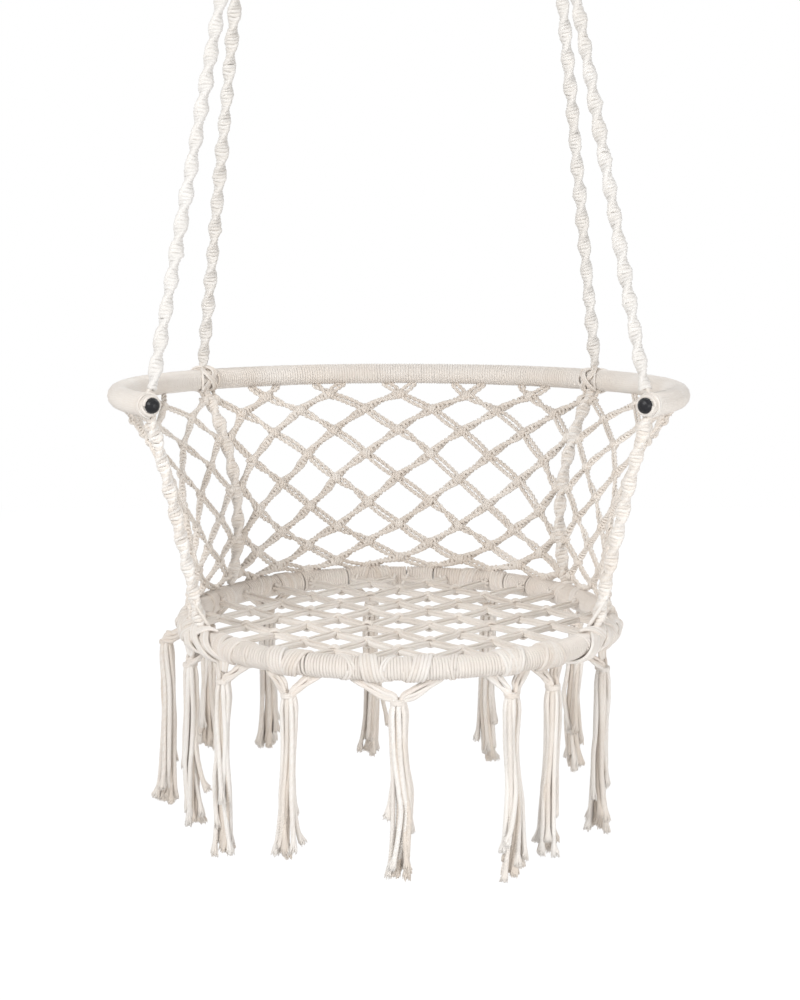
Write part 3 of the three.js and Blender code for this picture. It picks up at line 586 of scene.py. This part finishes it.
for name, side in SIDES:
    for place, on_seat, on_hoop, tied, lean in (
        ("rear", REAR_ON_SEAT, REAR_ON_HOOP, REAR_LASHING, 0),
        ("front", FRONT_ON_SEAT, FRONT_ON_HOOP, FRONT_LASHING, FRONT_FOOT_LEAN),
    ):
        low, high, inward = lower_line(side, on_seat, on_hoop)
        line = netted(low, high, inward, np.linspace(0, 1, 9), on_seat)
        route = Route(line, first=seat.tangent(side * on_seat))
        strands = Strands(40 + on_seat + side)
        sennit(strands, route, LOWER_TURN, ROPE_RISE, ROPE_WIDE * 0.95, ROPE_THIN, ROPE_CORD,
               start=on_seat, ends=(0.8, 0.8), core=ROPE_CORE)
        strands.made(f"lower_{place}_{name}", cotton, "chair", [f"lower_rope_{place}_{name}"])
        tip = hoop.on(side * on_hoop, math.pi / 2 + lean, LASHING_RADIUS + ROPE_TIP_SEAT * 1.2)
        lashing(f"{place}_{name}", side * on_hoop, *tied, tip, 60 + on_seat + side)


# Nets of the back: knots on shares of the height, legs of two kinds between them
ROW_SHARES = (0.052, 0.133, 0.243, 0.37, 0.498, 0.636, 0.757, 0.855, 0.948)
HANG_HALF_SPAN = 26 * MM
EDGE_KNOT_SHIFT = 12 * MM
KNOT_WIDE = 8.5 * MM
KNOT_HIGH = 6.2 * MM
KNOT_CORD = 2.5 * MM
LEG_BOW = 1.5 * MM
CROSSED_SHARE = 0.35
PAIR_HALF_GAP = 3.3 * MM
PAIR_LIFT = 1.6 * MM
PAIR_LAY = 17 * MM
PAIR_CIRCLE = 1.7 * MM
PAIR_CORD = 1.95 * MM
LEG_TURN = 110 * MM
LEG_RISE = 14 * MM
LEG_WIDE = 4.2 * MM
LEG_THIN = 2.6 * MM
LEG_CORD = 2.5 * MM
LEG_CORE = 1.9 * MM


def leg_route(strands, start, end, out, step):
    """A line between two knots that bows a little to one side."""
    side = unit(np.cross(end - start, out))
    bow = strands.random.normal(0, LEG_BOW)
    return Route([start, (start + end) / 2 + side * bow, end], first=side, step=step)


def paired_leg(strands, start, end, out, size, count=2):
    """Twisted pairs of cords that part a little between two knots, or cross over each other."""
    route = leg_route(strands, start, end, out, 3 * MM)
    t = np.linspace(0, 1, max(10, int(route.length / (2.4 * MM))))
    s = t * route.length
    crossed = strands.random.uniform() < CROSSED_SHARE
    if crossed:
        swell = np.cos(math.pi * np.clip(1.8 * t - 0.4, 0, 1))
    else:
        swell = 0.75 + 0.4 * np.sin(math.pi * t)
    lay = PAIR_CIRCLE * size
    for k in range(count):
        sign = 2 * k - 1 if count == 2 else 0
        x = sign * PAIR_HALF_GAP * size * swell + strands.random.normal(0, 0.3 * MM)
        y = sign * PAIR_LIFT * np.sin(math.pi * t) * crossed
        phase = strands.random.uniform(0, TURN)
        for m in (0, math.pi):
            a = TURN * s / PAIR_LAY + phase + m
            strands.tube(route.beside(s, x + lay * np.cos(a), y + lay * np.sin(a)), PAIR_CORD * size, 7)


def knotted_leg(strands, start, end, out, size):
    """A leg of two cords hitched round two others."""
    route = leg_route(strands, start, end, out, 2 * MM)
    sennit(strands, route, LEG_TURN, LEG_RISE, LEG_WIDE * size, LEG_THIN * size, LEG_CORD * size,
           start=strands.random.uniform(-0.5, 0.5), ends=(0.8, 0.8), core=LEG_CORE * size)


def net_knot(strands, at, along, out, wide, high, turns=3):
    """A wrapped knot: turns side by side along one direction, and two cords crossing over them."""
    along = unit(along - out * np.dot(along, out))
    upward = np.cross(out, along)
    t = np.linspace(0, 1, turns * 14 + 1)
    a = TURN * turns * t + strands.random.uniform(0, TURN)
    crown = 1 - 0.35 * (2 * t - 1) ** 2
    path = (at + np.outer((2 * t - 1) * (wide - KNOT_CORD), along)
            + (high * crown * np.sin(a))[:, None] * upward + (high * 0.85 * crown * np.cos(a))[:, None] * out)
    strands.tube(path, KNOT_CORD, 8)
    t = np.linspace(-1, 1, 11)
    for way in (-1, 1):
        path = (at + np.outer(t * wide, along) + np.outer(way * t * high * 0.9, upward)
                + np.outer(high * (1.05 - 0.75 * t**2), out))
        strands.tube(path, KNOT_CORD, 8)


def net_field(name, cells, start, end, size, seed):
    """A field between two ropes. start and end are (bearing on the seat, bearing on the hoop)."""
    strands = Strands(seed)
    shares = [*(1 - s for s in ROW_SHARES), 0]
    hang_turn = hoop.turn_of(HANG_HALF_SPAN)

    def knot_place(u, share, turned=0.0):
        """A point in the field, the way out of the chair there and the way up along the net."""
        on_seat = start[0] + (end[0] - start[0]) * u / cells
        on_hoop = start[1] + (end[1] - start[1]) * u / cells + turned
        low, high, inward = lower_line(1, on_seat, on_hoop)
        at = netted(low, high, inward, share, on_seat)
        ahead = netted(low, high, inward, share + 0.01, on_seat)
        behind = netted(low, high, inward, share - 0.01, on_seat)
        way = unit(ahead - behind)
        return at, unit(way * np.dot(way, inward) - inward), way

    above = []
    for row, share in enumerate(shares, start=1):
        on_lines = row % 2 == 1
        here = []
        for u in np.arange(cells + 1) if on_lines else np.arange(cells) + 0.5:
            at, out, way = knot_place(u, share)
            sideways = np.cross(out, way)
            at_edge = u in (0, cells)
            if at_edge:
                beside, _, _ = knot_place(u + np.sign(cells / 2 - u) * 0.1, share)
                at = at + unit(beside - at) * EDGE_KNOT_SHIFT
            elif row < len(shares):
                at = at + sideways * strands.random.normal(0, 1.8 * MM)
                at = at + way * strands.random.normal(0, 1.2 * MM)
            here.append((at, out, way))
            tip = strands.random.normal(0, 0.25)
            net_knot(strands, at, sideways * math.cos(tip) + way * math.sin(tip), out,
                     wide=KNOT_WIDE * size, high=KNOT_HIGH * size)
            if row == 1:
                inside = np.sign(cells / 2 - u) * np.sign(end[1] - start[1])
                for turned in (inside * hang_turn * 0.6,) if at_edge else (-hang_turn, hang_turn):
                    top, _, _ = knot_place(u, 1, turned)
                    paired_leg(strands, at, top + way * 2 * MM, out, size, 1 if at_edge else 2)
        if row > 1:
            wide, narrow = (here, above) if on_lines else (above, here)
            for i, (at, out, way) in enumerate(narrow):
                for step in (0, 1):
                    other = wide[i + step]
                    rising = (step == 1) == (other[0][2] > at[2])
                    low, high = sorted((at, other[0]), key=lambda p: p[2])
                    leg = knotted_leg if rising else paired_leg
                    leg(strands, low, high, unit(out + other[1]), size)
        above = here
    strands.made(f"{name}_cords", net_cotton, "chair", [name])


net_field("back_net", 6, (-REAR_ON_SEAT, -REAR_ON_HOOP), (REAR_ON_SEAT, REAR_ON_HOOP), 1.0, 71)
net_field("side_net_left", 4, (-FRONT_ON_SEAT, -FRONT_ON_HOOP), (-REAR_ON_SEAT, -REAR_ON_HOOP), 0.8, 72)
net_field("side_net_right", 4, (REAR_ON_SEAT, REAR_ON_HOOP), (FRONT_ON_SEAT, FRONT_ON_HOOP), 0.8, 73)


# Seat net: level diamonds of cord bundles, tied round the seat ring
CELL_WIDTH = 88 * MM
CELL_DEPTH = 100 * MM
NET_MARGIN = 24 * MM
NET_LINES = range(-8, 9)
SEAT_CORD = 2.5 * MM
SEAT_TIE_CORD = 2.1 * MM
FRONT_TIES_FROM = 75
BUNDLE_WIDE = 6.6 * MM
BUNDLE_THIN = 2.3 * MM


def seat_net():
    """Bundles in two slants, with a tie where they cross and at both ends of each."""
    strands = Strands(81)
    wraps = Strands(82)
    inner = SEAT_RADIUS - WINDING_RADIUS + 1 * MM
    limit = SEAT_RADIUS - WINDING_RADIUS - NET_MARGIN
    places = {(i, j): np.array([i * CELL_WIDTH / 2, j * CELL_DEPTH / 2, 0])
              for i in NET_LINES for j in NET_LINES if (i + j) % 2 == 0}
    knots = {k: at for k, at in places.items() if math.hypot(*at[:2]) < limit}
    for lean in (-1, 1):
        for line in NET_LINES:
            on_line = [knots[k] for k in sorted(knots, key=lambda k: k[1]) if k[0] - lean * k[1] == 2 * line]
            if not on_line:
                continue
            way = unit(np.array([lean * CELL_WIDTH, CELL_DEPTH, 0]))
            along = on_line[0].dot(way)
            foot = on_line[0] - along * way
            half = math.sqrt(inner**2 - foot.dot(foot))
            ends = foot - way * half, foot + way * half
            stops = [at.dot(way) + half for at in on_line]
            ribbon(strands, SEAT_CENTRE + ends[0], SEAT_CENTRE + ends[1], stops, lean)
            for end in ends:
                bearing = math.degrees(math.atan2(*end[:2]))
                if abs(bearing) > FRONT_TIES_FROM:
                    ring_wraps(wraps, seat, bearing, 2, SEAT_TIE_CORD, slant=strands.random.normal(0, 9 * MM))
                else:
                    at = seat.on(bearing, math.pi, WINDING_RADIUS + 1 * MM)
                    net_knot(strands, at, UP, -seat.radial(bearing), wide=7 * MM, high=5 * MM, turns=2)
    for at in knots.values():
        crossing_tie(strands, SEAT_CENTRE + at)
    strands.made("seat_net_cords", net_cotton, "chair", ["seat_net"])
    wraps.made("seat_net_ties", shaded_ring_cotton, "chair")


def ribbon(strands, start, end, stops, lean):
    """Four cords laid together from side to side of the ring, drawn close at each knot."""
    route = Route([start, end], first=unit(np.cross(end - start, UP)), step=4 * MM)
    s = np.linspace(0, route.length, max(12, int(route.length / (3.5 * MM))))
    near = sum(np.exp(-(((s - stop) / (11 * MM)) ** 2)) for stop in stops)
    over = sum((-1) ** i * np.exp(-(((s - stop) / (14 * MM)) ** 2)) for i, stop in enumerate(stops))
    drift = np.interp(s, np.linspace(0, route.length, 6), strands.random.normal(0, 0.5, 6))
    sway = np.interp(s, np.linspace(0, route.length, 5), strands.random.normal(0, 1.5 * MM, 5))
    for k in range(4):
        a = TURN * (k + 0.5) / 4 + drift
        x = BUNDLE_WIDE * np.cos(a) * (1 - 0.45 * near) + sway * (1 - near)
        y = BUNDLE_THIN * np.sin(a) + lean * over * 1.6 * MM
        strands.tube(route.beside(s, x, y), SEAT_CORD, 7)


def crossing_tie(strands, at):
    """Two bights over and under a crossing, with a small hole left between them."""
    t = np.linspace(-1, 1, 11)
    for face in (-1, 1):
        for way in (-1, 1):
            turned = strands.random.normal(0, 0.25)
            across = np.array([math.cos(turned), math.sin(turned), 0])
            ahead = np.array([-across[1], across[0], 0])
            path = (at + np.outer(t * 8 * MM, across) + np.outer(way * (3.9 - 1.2 * t**2) * MM, ahead)
                    + np.outer(face * (5.9 - 4.4 * t**2) * MM, UP))
            strands.tube(path, SEAT_TIE_CORD, 7)


seat_net()


# Tassels, each hung by a V of cords from the seat ring, as the part's source has them
TASSEL_BEARINGS = (0, 29, -28, 42, -50, 66, -70, -90, 120, -113, -139, -172, 153)
TASSEL_LENGTH = 236 * MM
TASSEL_LENGTH_SHARES = (1.02, 1.08, 0.95, 1.01, 1.04, 1, 1, 1.03, 0.98, 0.82, 0.96, 1.07, 1.09)
HITCH_LEAN = math.radians(-70)
HITCH_DROP = 31 * MM
HITCH_HALF_SPAN = 50 * MM
HITCH_SPAN_SHARES = (1, 0.5, 0.66, 0.34, 0.66, 0.66, 0.66, 0.5, 0.66, 0.66, 0.66, 0.66, 0.66)
OUTER_HITCH = 8
OUTER_LEAN = math.radians(-30)
OUTER_DROP = 42 * MM
HITCH_TAIL = 5 * MM
HEAD_RADIUS = 11 * MM
CLEARANCE = 0.3 * MM

# Cords of a hitch. ARM_PLACES has how high and how far out each cord of an arm runs
HITCH_CORD = 2.8 * MM
FRONT_LAP_SHARE = 0.0
BACK_LAP_SHARE = -0.45
BACK_LAPS_FROM = 0.2
LAP_START = math.radians(-88)
OUTER_LAP_START = math.radians(-60)
LAP_SLANT = (12, 36)
ARM_PLACES = np.array(((4, -2), (3, 3), (-0.5, -3.5), (-4, 2.5), (0.5, 2))) * MM
THROAT_CORD = 2.3 * MM
THROAT_LENGTH = 9.4 * MM

# Strands of a tassel, the short ones flared at their ends
OUTER_STRANDS = 8
INNER_STRANDS = 5
BUNCH_HALF_WIDTH = 10.7 * MM
BUNCH_HALF_DEPTH = 8 * MM
INNER_SIZE = 0.48
WAIST_SHARE = 0.45
BUNCH_BEND = 3.2 * MM
STRAND_BEND = 2.9 * MM
STRAND_FLICK = 4.5 * MM
LONG_CUT = (0.89, 1.0)
SHORT_CUT = (0.64, 0.86)
SHORT_SHARE = 0.25
SHORT_FLARE = 7 * MM
PLY = 1.95 * MM
PLY_CIRCLE = 1.75 * MM
PLY_LAY = 12 * MM
BRUSH = 22 * MM
BRUSH_FIBRES = 46
BRUSH_RADIUS = 6.2 * MM
FIBRE_RADII = np.array((0.8, 0.95, 1, 1, 0.9, 0.45)) * MM


def hitch_foot(number, bearing):
    """The lowest point of a hitch, just above its tassel."""
    lean, drop = (OUTER_LEAN, OUTER_DROP) if number == OUTER_HITCH else (HITCH_LEAN, HITCH_DROP)
    return seat.middle(bearing) + seat.way(bearing, lean) * drop - UP * HITCH_TAIL


def hitch(number, bearing, half_span):
    """Two bundles of cords that go once round the ring, meet above a tassel and turn down into it."""
    strands = Strands(100 + number)
    foot = hitch_foot(number, bearing)
    knot = foot - UP * (CLEARANCE + HEAD_RADIUS * 0.35)
    out, tangent = seat.radial(bearing), seat.tangent(bearing)
    t = np.linspace(0, 1, 15)
    round_ring = (OUTER_LAP_START if number == OUTER_HITCH else LAP_START) - t * math.radians(350)
    sunk = BACK_LAP_SHARE if out[1] > BACK_LAPS_FROM else FRONT_LAP_SHARE
    for way in (-1, 1):
        place = bearing - way * seat.turn_of(half_span * strands.random.uniform(0.9, 1.05))
        slant = -way * strands.random.uniform(*LAP_SLANT) * MM
        aside = tangent * way
        for k, (high, near) in enumerate(ARM_PLACES):
            off = (k - 2) * 1.7 * HITCH_CORD
            around = place - np.degrees((t * slant + way * off) / seat.radius)
            lap = seat.on(around, round_ring, WINDING_RADIUS + HITCH_CORD * sunk)
            sag = strands.random.uniform(2, 5) * MM
            middle = (lap[0] * 0.45 + knot * 0.55) - UP * (sag - high) + out * near
            bend = knot - aside * (7 * MM - high * 0.5) + UP * (high * 0.8 + 1 * MM) + out * near * 0.8
            end = knot - aside * (4.5 * MM - high * 0.4) - UP * 8 * MM + out * near * 0.8
            strands.tube(Route([end, bend, middle, *lap], step=3 * MM).points, HITCH_CORD, 8)
    throat = Route([knot - UP * 9 * MM, knot + UP * 1 * MM], first=tangent)
    whipping(strands, throat, lambda t: (8.8 + 0.8 * np.cos(TURN * 2 * t)) * MM, THROAT_CORD,
             0, THROAT_LENGTH, sides=8)
    strands.made(f"hitch_{number:02d}", shaded_ring_cotton, "chair", [f"tassel_hitch_{number:02d}"])
    return foot


def laid_strand(strands, route, tone_and_shade):
    """Three plies laid round each other, which open out into a brush at the cut end."""
    s = np.linspace(0, route.length, max(12, int(route.length / (1.5 * MM))))
    opening = np.clip((s - route.length + BRUSH) / BRUSH, 0, 1) ** 1.5
    angle = TURN * s / (PLY_LAY * strands.random.uniform(0.9, 1.1)) + strands.random.uniform(0, TURN)
    for k in range(3):
        a = angle + TURN * k / 3
        reach = PLY_CIRCLE * (1 + opening * strands.random.uniform(0.3, 0.8))
        path = route.beside(s, reach * np.cos(a), reach * np.sin(a))
        strands.tube(path, PLY * (1 - 0.35 * opening), 6, tone_and_shade=tone_and_shade + strands.random.normal(0, 0.08))
    brush(strands, route, tone_and_shade)


def brush(strands, route, tone_and_shade):
    """Fine fibres round the cut end of a strand that fan out as they go down."""
    start = route.length - BRUSH
    lean = strands.random.normal(0, 1.5 * MM, 2)
    down = unit(route.points[-1] - route.points[-3])
    for _ in range(BRUSH_FIBRES):
        a, share = strands.random.uniform(0, TURN), strands.random.uniform(0.05, 1) ** 0.5
        length = BRUSH + strands.random.uniform(-5, 3) * MM
        t = np.linspace(0, 1, 6)
        reach = PLY_CIRCLE * 1.3 + (share * BRUSH_RADIUS - PLY_CIRCLE * 1.3) * t**1.5
        turned = a + t * strands.random.uniform(0.2, 0.9)
        path = route.beside(start + t * BRUSH, reach * np.cos(turned) + lean[0] * t**2,
                            reach * np.sin(turned) + lean[1] * t**2)
        path = path + np.outer(t**3 * (length - BRUSH), down)
        strands.tube(path, FIBRE_RADII, 4, tone_and_shade=tone_and_shade + strands.random.normal(0, 0.12))


def tassel(number, bearing, foot, length):
    """A bunch of laid strands under the knot of a hitch, bent as a whole and one by one."""
    strands = Strands(200 + number)
    pivot = foot - UP * (CLEARANCE + HEAD_RADIUS)
    out, tangent = seat.radial(bearing), seat.tangent(bearing)
    twist = strands.random.uniform(-0.7, 0.7)
    whole = np.concatenate([[[0], [0]], strands.random.normal(0, BUNCH_BEND, (2, 3))], axis=1)
    stops = (0, 0.3, 0.65, 1)
    for k in range(OUTER_STRANDS + INNER_STRANDS):
        inner = k >= OUTER_STRANDS
        a = TURN * (k + strands.random.uniform(-0.25, 0.25)) / (INNER_STRANDS if inner else OUTER_STRANDS)
        size = INNER_SIZE if inner else 1
        short = not inner and strands.random.random() < SHORT_SHARE
        own = length * strands.random.uniform(*(SHORT_CUT if short else LONG_CUT))
        s = np.linspace(0, 1, 12)
        drop = HEAD_RADIUS * 0.5 - (own + HEAD_RADIUS * 0.5) * s
        waist = 1 - 0.15 * np.exp(-(((s - WAIST_SHARE) / 0.2) ** 2))
        widen = (0.62 + 0.38 * np.clip(s * own / (14 * MM), 0, 1)) * waist + 0.12 * s**3
        turn = a + twist * s
        bend = np.stack([np.interp(s, stops, (0, *w)) for w in strands.random.normal(0, STRAND_BEND, (2, 3))])
        bend = (bend + np.stack([np.interp(s, stops, w) for w in whole])) * np.sqrt(s)
        flick = strands.random.normal(0, STRAND_FLICK, 2)[:, None] * s**6
        apart = (SHORT_FLARE if short else 0) * s**4
        x = (BUNCH_HALF_WIDTH * size * widen + apart) * np.cos(turn) + bend[0] + flick[0]
        y = (BUNCH_HALF_DEPTH * size * widen + apart) * np.sin(turn) + bend[1] + flick[1]
        path = pivot + np.outer(x, tangent) + np.outer(y, out) + np.outer(drop, UP)
        # Painted shade: inner strands take a tone at the dark end, for the shade between the outer strands
        tone_and_shade = -0.7 if inner else strands.random.uniform(0.1, 1)
        laid_strand(strands, Route(path, step=2 * MM), tone_and_shade)
    node = f"tassel_{number:02d}"
    strands.made(f"tassel_strands_{number:02d}", cotton, f"{node}_body", [node])


for number, (from_front, share, span_share) in enumerate(
    zip(TASSEL_BEARINGS, TASSEL_LENGTH_SHARES, HITCH_SPAN_SHARES), start=1
):
    foot = hitch(number, 180 - from_front, HITCH_HALF_SPAN * span_share)
    tassel(number, 180 - from_front, foot, TASSEL_LENGTH * share)


# Bands that cross over the outside of the seat ring where the front ropes meet it, all angles in degrees
BAND_CORD = 2.2 * MM
BAND_CORDS = 5
BAND_STEP = 5
BAND_SPREAD = 14
BAND_LIFT = 1.3
BAND_WEAVE = 0.85
BAND_TOP = 100
BAND_AT_HITCH = -50
BAND_UNDER = -165
CORNER_FROM = 97
CORNER_TO = 127
CORNER_MARGIN = 8


def ring_band(strands, side, first, last, low, phase, tail, start):
    """Cords side by side over the outside of the ring, woven over and under the bands that cross them."""
    t = np.linspace(0, 1, 20)
    angle = np.radians(BAND_TOP + (low - BAND_TOP) * t)
    lift = BAND_LIFT + BAND_WEAVE * np.sin(math.pi * (last - first) / BAND_STEP * t + phase)
    for k in range(BAND_CORDS):
        place = k - (BAND_CORDS - 1) / 2
        bearing = first + (last - first) * t + seat.turn_of(place * 1.8 * BAND_CORD)
        path = list(seat.on(side * bearing, angle, WINDING_RADIUS + BAND_CORD * lift))
        if start is not None:
            path.insert(0, start + seat.tangent(side * first) * side * place * 3.4 * MM)
        if tail is not None:
            path += [(path[-1] + tail) / 2 - UP * 1 * MM + seat.tangent(side * last) * side * place * 1 * MM,
                     tail + UP * 5 * MM + seat.tangent(side * last) * side * place * 2.5 * MM]
        strands.tube(Route(path, step=2.5 * MM).points, BAND_CORD, 8)


def corner_bands(name, side, tassels, seed):
    """The woven bands from a front rope and its side net over the ring to the tassels below them."""
    strands = Strands(seed)
    low, high, inward = lower_line(side, FRONT_ON_SEAT, FRONT_ON_HOOP)
    on_rope = netted(low, high, inward, 0.14, FRONT_ON_SEAT) - inward * 6 * MM
    knots = []
    for number in tassels:
        bearing = 180 - TASSEL_BEARINGS[number - 1]
        knots.append((bearing, hitch_foot(number, bearing)))
    for way in (-1, 1):
        for line, first in enumerate(np.arange(CORNER_FROM, CORNER_TO, BAND_STEP)):
            last = first + way * BAND_SPREAD * strands.random.uniform(0.8, 1.1)
            if not CORNER_FROM - CORNER_MARGIN < last < CORNER_TO + CORNER_MARGIN:
                continue
            near = [foot for bearing, foot in knots if abs(abs((bearing + 180) % 360 - 180) - last) < 4]
            if not near:
                last = first + (last - first) * 1.4
            from_rope = abs(first - FRONT_ON_SEAT + 2) < 0.7 * BAND_STEP
            low_angle = BAND_AT_HITCH if near else BAND_UNDER
            ring_band(strands, side, first, last, low_angle, math.pi * (line + (way + 1) / 2),
                      near[0] if near else None, on_rope if from_rope else None)
    strands.made(f"corner_bands_{name}", cotton, "chair")


corner_bands("left", -1, (5, 7, 8), 301)
corner_bands("right", 1, (4, 6), 302)


# Materials of the CAD nodes that stay
def spread(n, noise, dark, light, rough):
    """Lets a noise move the colour between two tones and the roughness by a share above 0.3."""
    share = noise.outputs["Fac"]
    n.link(n.ramp(share, (0.3, dark), (0.7, light)), n.shader.inputs["Base Color"])
    n.link(n.maths("ADD", n.maths("MULTIPLY", share, rough), 0.3), n.shader.inputs["Roughness"])


def enamel():
    n = Nodes("tube_enamel")
    noise = n.add("ShaderNodeTexNoise", Scale=60.0, Detail=4.0)
    n.link(n.add("ShaderNodeTexCoord").outputs["Object"], noise.inputs["Vector"])
    spread(n, noise, (0.72, 0.71, 0.69, 1), (0.8, 0.79, 0.77, 1), 0.2)
    return n.material


def gloss_plastic():
    n = Nodes("plug_plastic")
    noise = n.add("ShaderNodeTexNoise", Scale=350.0, Detail=3.0)
    n.link(n.add("ShaderNodeTexCoord").outputs["Object"], noise.inputs["Vector"])
    spread(n, noise, (0.012, 0.012, 0.014, 1), (0.02, 0.02, 0.023, 1), 0.1)
    n.shader.inputs["Specular IOR Level"].default_value = 0.22
    bump = n.add("ShaderNodeBump", Strength=0.05, Distance=0.1 * MM)
    n.link(noise.outputs["Fac"], bump.inputs["Height"])
    n.link(bump.outputs[0], n.shader.inputs["Normal"])
    return n.material


def polished_steel():
    n = Nodes("ring_steel")
    place = n.add("ShaderNodeMapping")
    place.inputs["Scale"].default_value = (30, 400, 30)
    n.link(n.add("ShaderNodeTexCoord").outputs["Object"], place.inputs["Vector"])
    noise = n.add("ShaderNodeTexNoise", Scale=4.0, Detail=5.0)
    n.link(place.outputs[0], noise.inputs["Vector"])
    spread(n, noise, (0.44, 0.45, 0.46, 1), (0.6, 0.61, 0.62, 1), 0.2)
    n.shader.inputs["Metallic"].default_value = 1.0
    return n.material


for nodes, material in (
    (("back_hoop_tube", "seat_ring_tube"), enamel()),
    (("end_plug_left", "end_plug_right"), gloss_plastic()),
    (("hanging_ring_left", "hanging_ring_right"), polished_steel()),
):
    for name in nodes:
        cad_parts[name].material_slots[0].material = material


# Floor, world and lamps, in metres
FLOOR_DROP = 0.23
FLOOR_HALF = 3.9
PAPER = (0.86, 0.86, 0.86, 1)
WHITE = (1, 1, 1, 1)
SKY_STRENGTH = 0.42


def white_for_camera(tree, shader, share, strength=1.0):
    """Adds plain white, for what the camera and polished surfaces see, to a shader that lights the scene."""
    path = tree.nodes.new("ShaderNodeLightPath")
    seen = path.outputs["Is Camera Ray"]
    for ray in ("Is Glossy Ray", "Is Transmission Ray"):
        most = tree.nodes.new("ShaderNodeMath")
        most.operation = "MAXIMUM"
        tree.links.new(seen, most.inputs[0])
        tree.links.new(path.outputs[ray], most.inputs[1])
        seen = most.outputs[0]
    part = tree.nodes.new("ShaderNodeMath")
    part.operation = "MULTIPLY"
    part.inputs[1].default_value = share
    tree.links.new(seen, part.inputs[0])
    in_sky = shader.bl_idname == "ShaderNodeBackground"
    white = tree.nodes.new("ShaderNodeBackground" if in_sky else "ShaderNodeEmission")
    white.inputs["Color"].default_value = WHITE
    white.inputs["Strength"].default_value = strength
    mix = tree.nodes.new("ShaderNodeMixShader")
    tree.links.new(part.outputs[0], mix.inputs[0])
    tree.links.new(shader.outputs[0], mix.inputs[1])
    tree.links.new(white.outputs[0], mix.inputs[2])
    return mix


floor_mesh = bpy.data.meshes.new("floor")
level = cad_box[0][2] - FLOOR_DROP
corners = [(x * FLOOR_HALF, y * FLOOR_HALF, level) for x, y in ((-1, -1), (1, -1), (1, 1), (-1, 1))]
floor_mesh.from_pydata(corners, [], [(0, 1, 2, 3)])
floor = bpy.data.objects.new("floor", floor_mesh)
bpy.context.collection.objects.link(floor)
paper = bpy.data.materials.new("floor_paper")
paper.use_nodes = True
paper_shader = paper.node_tree.nodes["Principled BSDF"]
paper_shader.inputs["Base Color"].default_value = PAPER
paper_shader.inputs["Roughness"].default_value = 1.0
paper_mix = white_for_camera(paper.node_tree, paper_shader, share=0.85, strength=1.08)
paper.node_tree.links.new(paper_mix.outputs[0], paper.node_tree.nodes["Material Output"].inputs["Surface"])
floor_mesh.materials.append(paper)

world = bpy.data.worlds.new("studio")
bpy.context.scene.world = world
world.use_nodes = True
sky = world.node_tree.nodes["Background"]
sky.inputs["Color"].default_value = WHITE
sky.inputs["Strength"].default_value = SKY_STRENGTH
sky_mix = white_for_camera(world.node_tree, sky, share=1.0)
world.node_tree.links.new(sky_mix.outputs[0], world.node_tree.nodes["World Output"].inputs["Surface"])

AIM = SEAT_CENTRE + np.array([0, 0, 150]) * MM
for name, offset, size, power in (
    ("key_lamp", (-2.2, -3.0, 2.4), 2.2, 112),
    ("fill_lamp", (2.6, -2.8, 0.3), 2.4, 58),
    ("back_lamp", (0.6, 2.8, 2.2), 2.4, 50),
):
    lamp = bpy.data.objects.new(name, bpy.data.lights.new(name, "AREA"))
    lamp.data.shape, lamp.data.size, lamp.data.energy = "DISK", size, power
    lamp.location = AIM + np.array(offset)
    way = -unit(offset)
    lamp.rotation_euler = (math.acos(-way[2]), 0, math.atan2(-way[0], way[1]))
    bpy.context.collection.objects.link(lamp)

bpy.context.scene.view_settings.view_transform = "Standard"
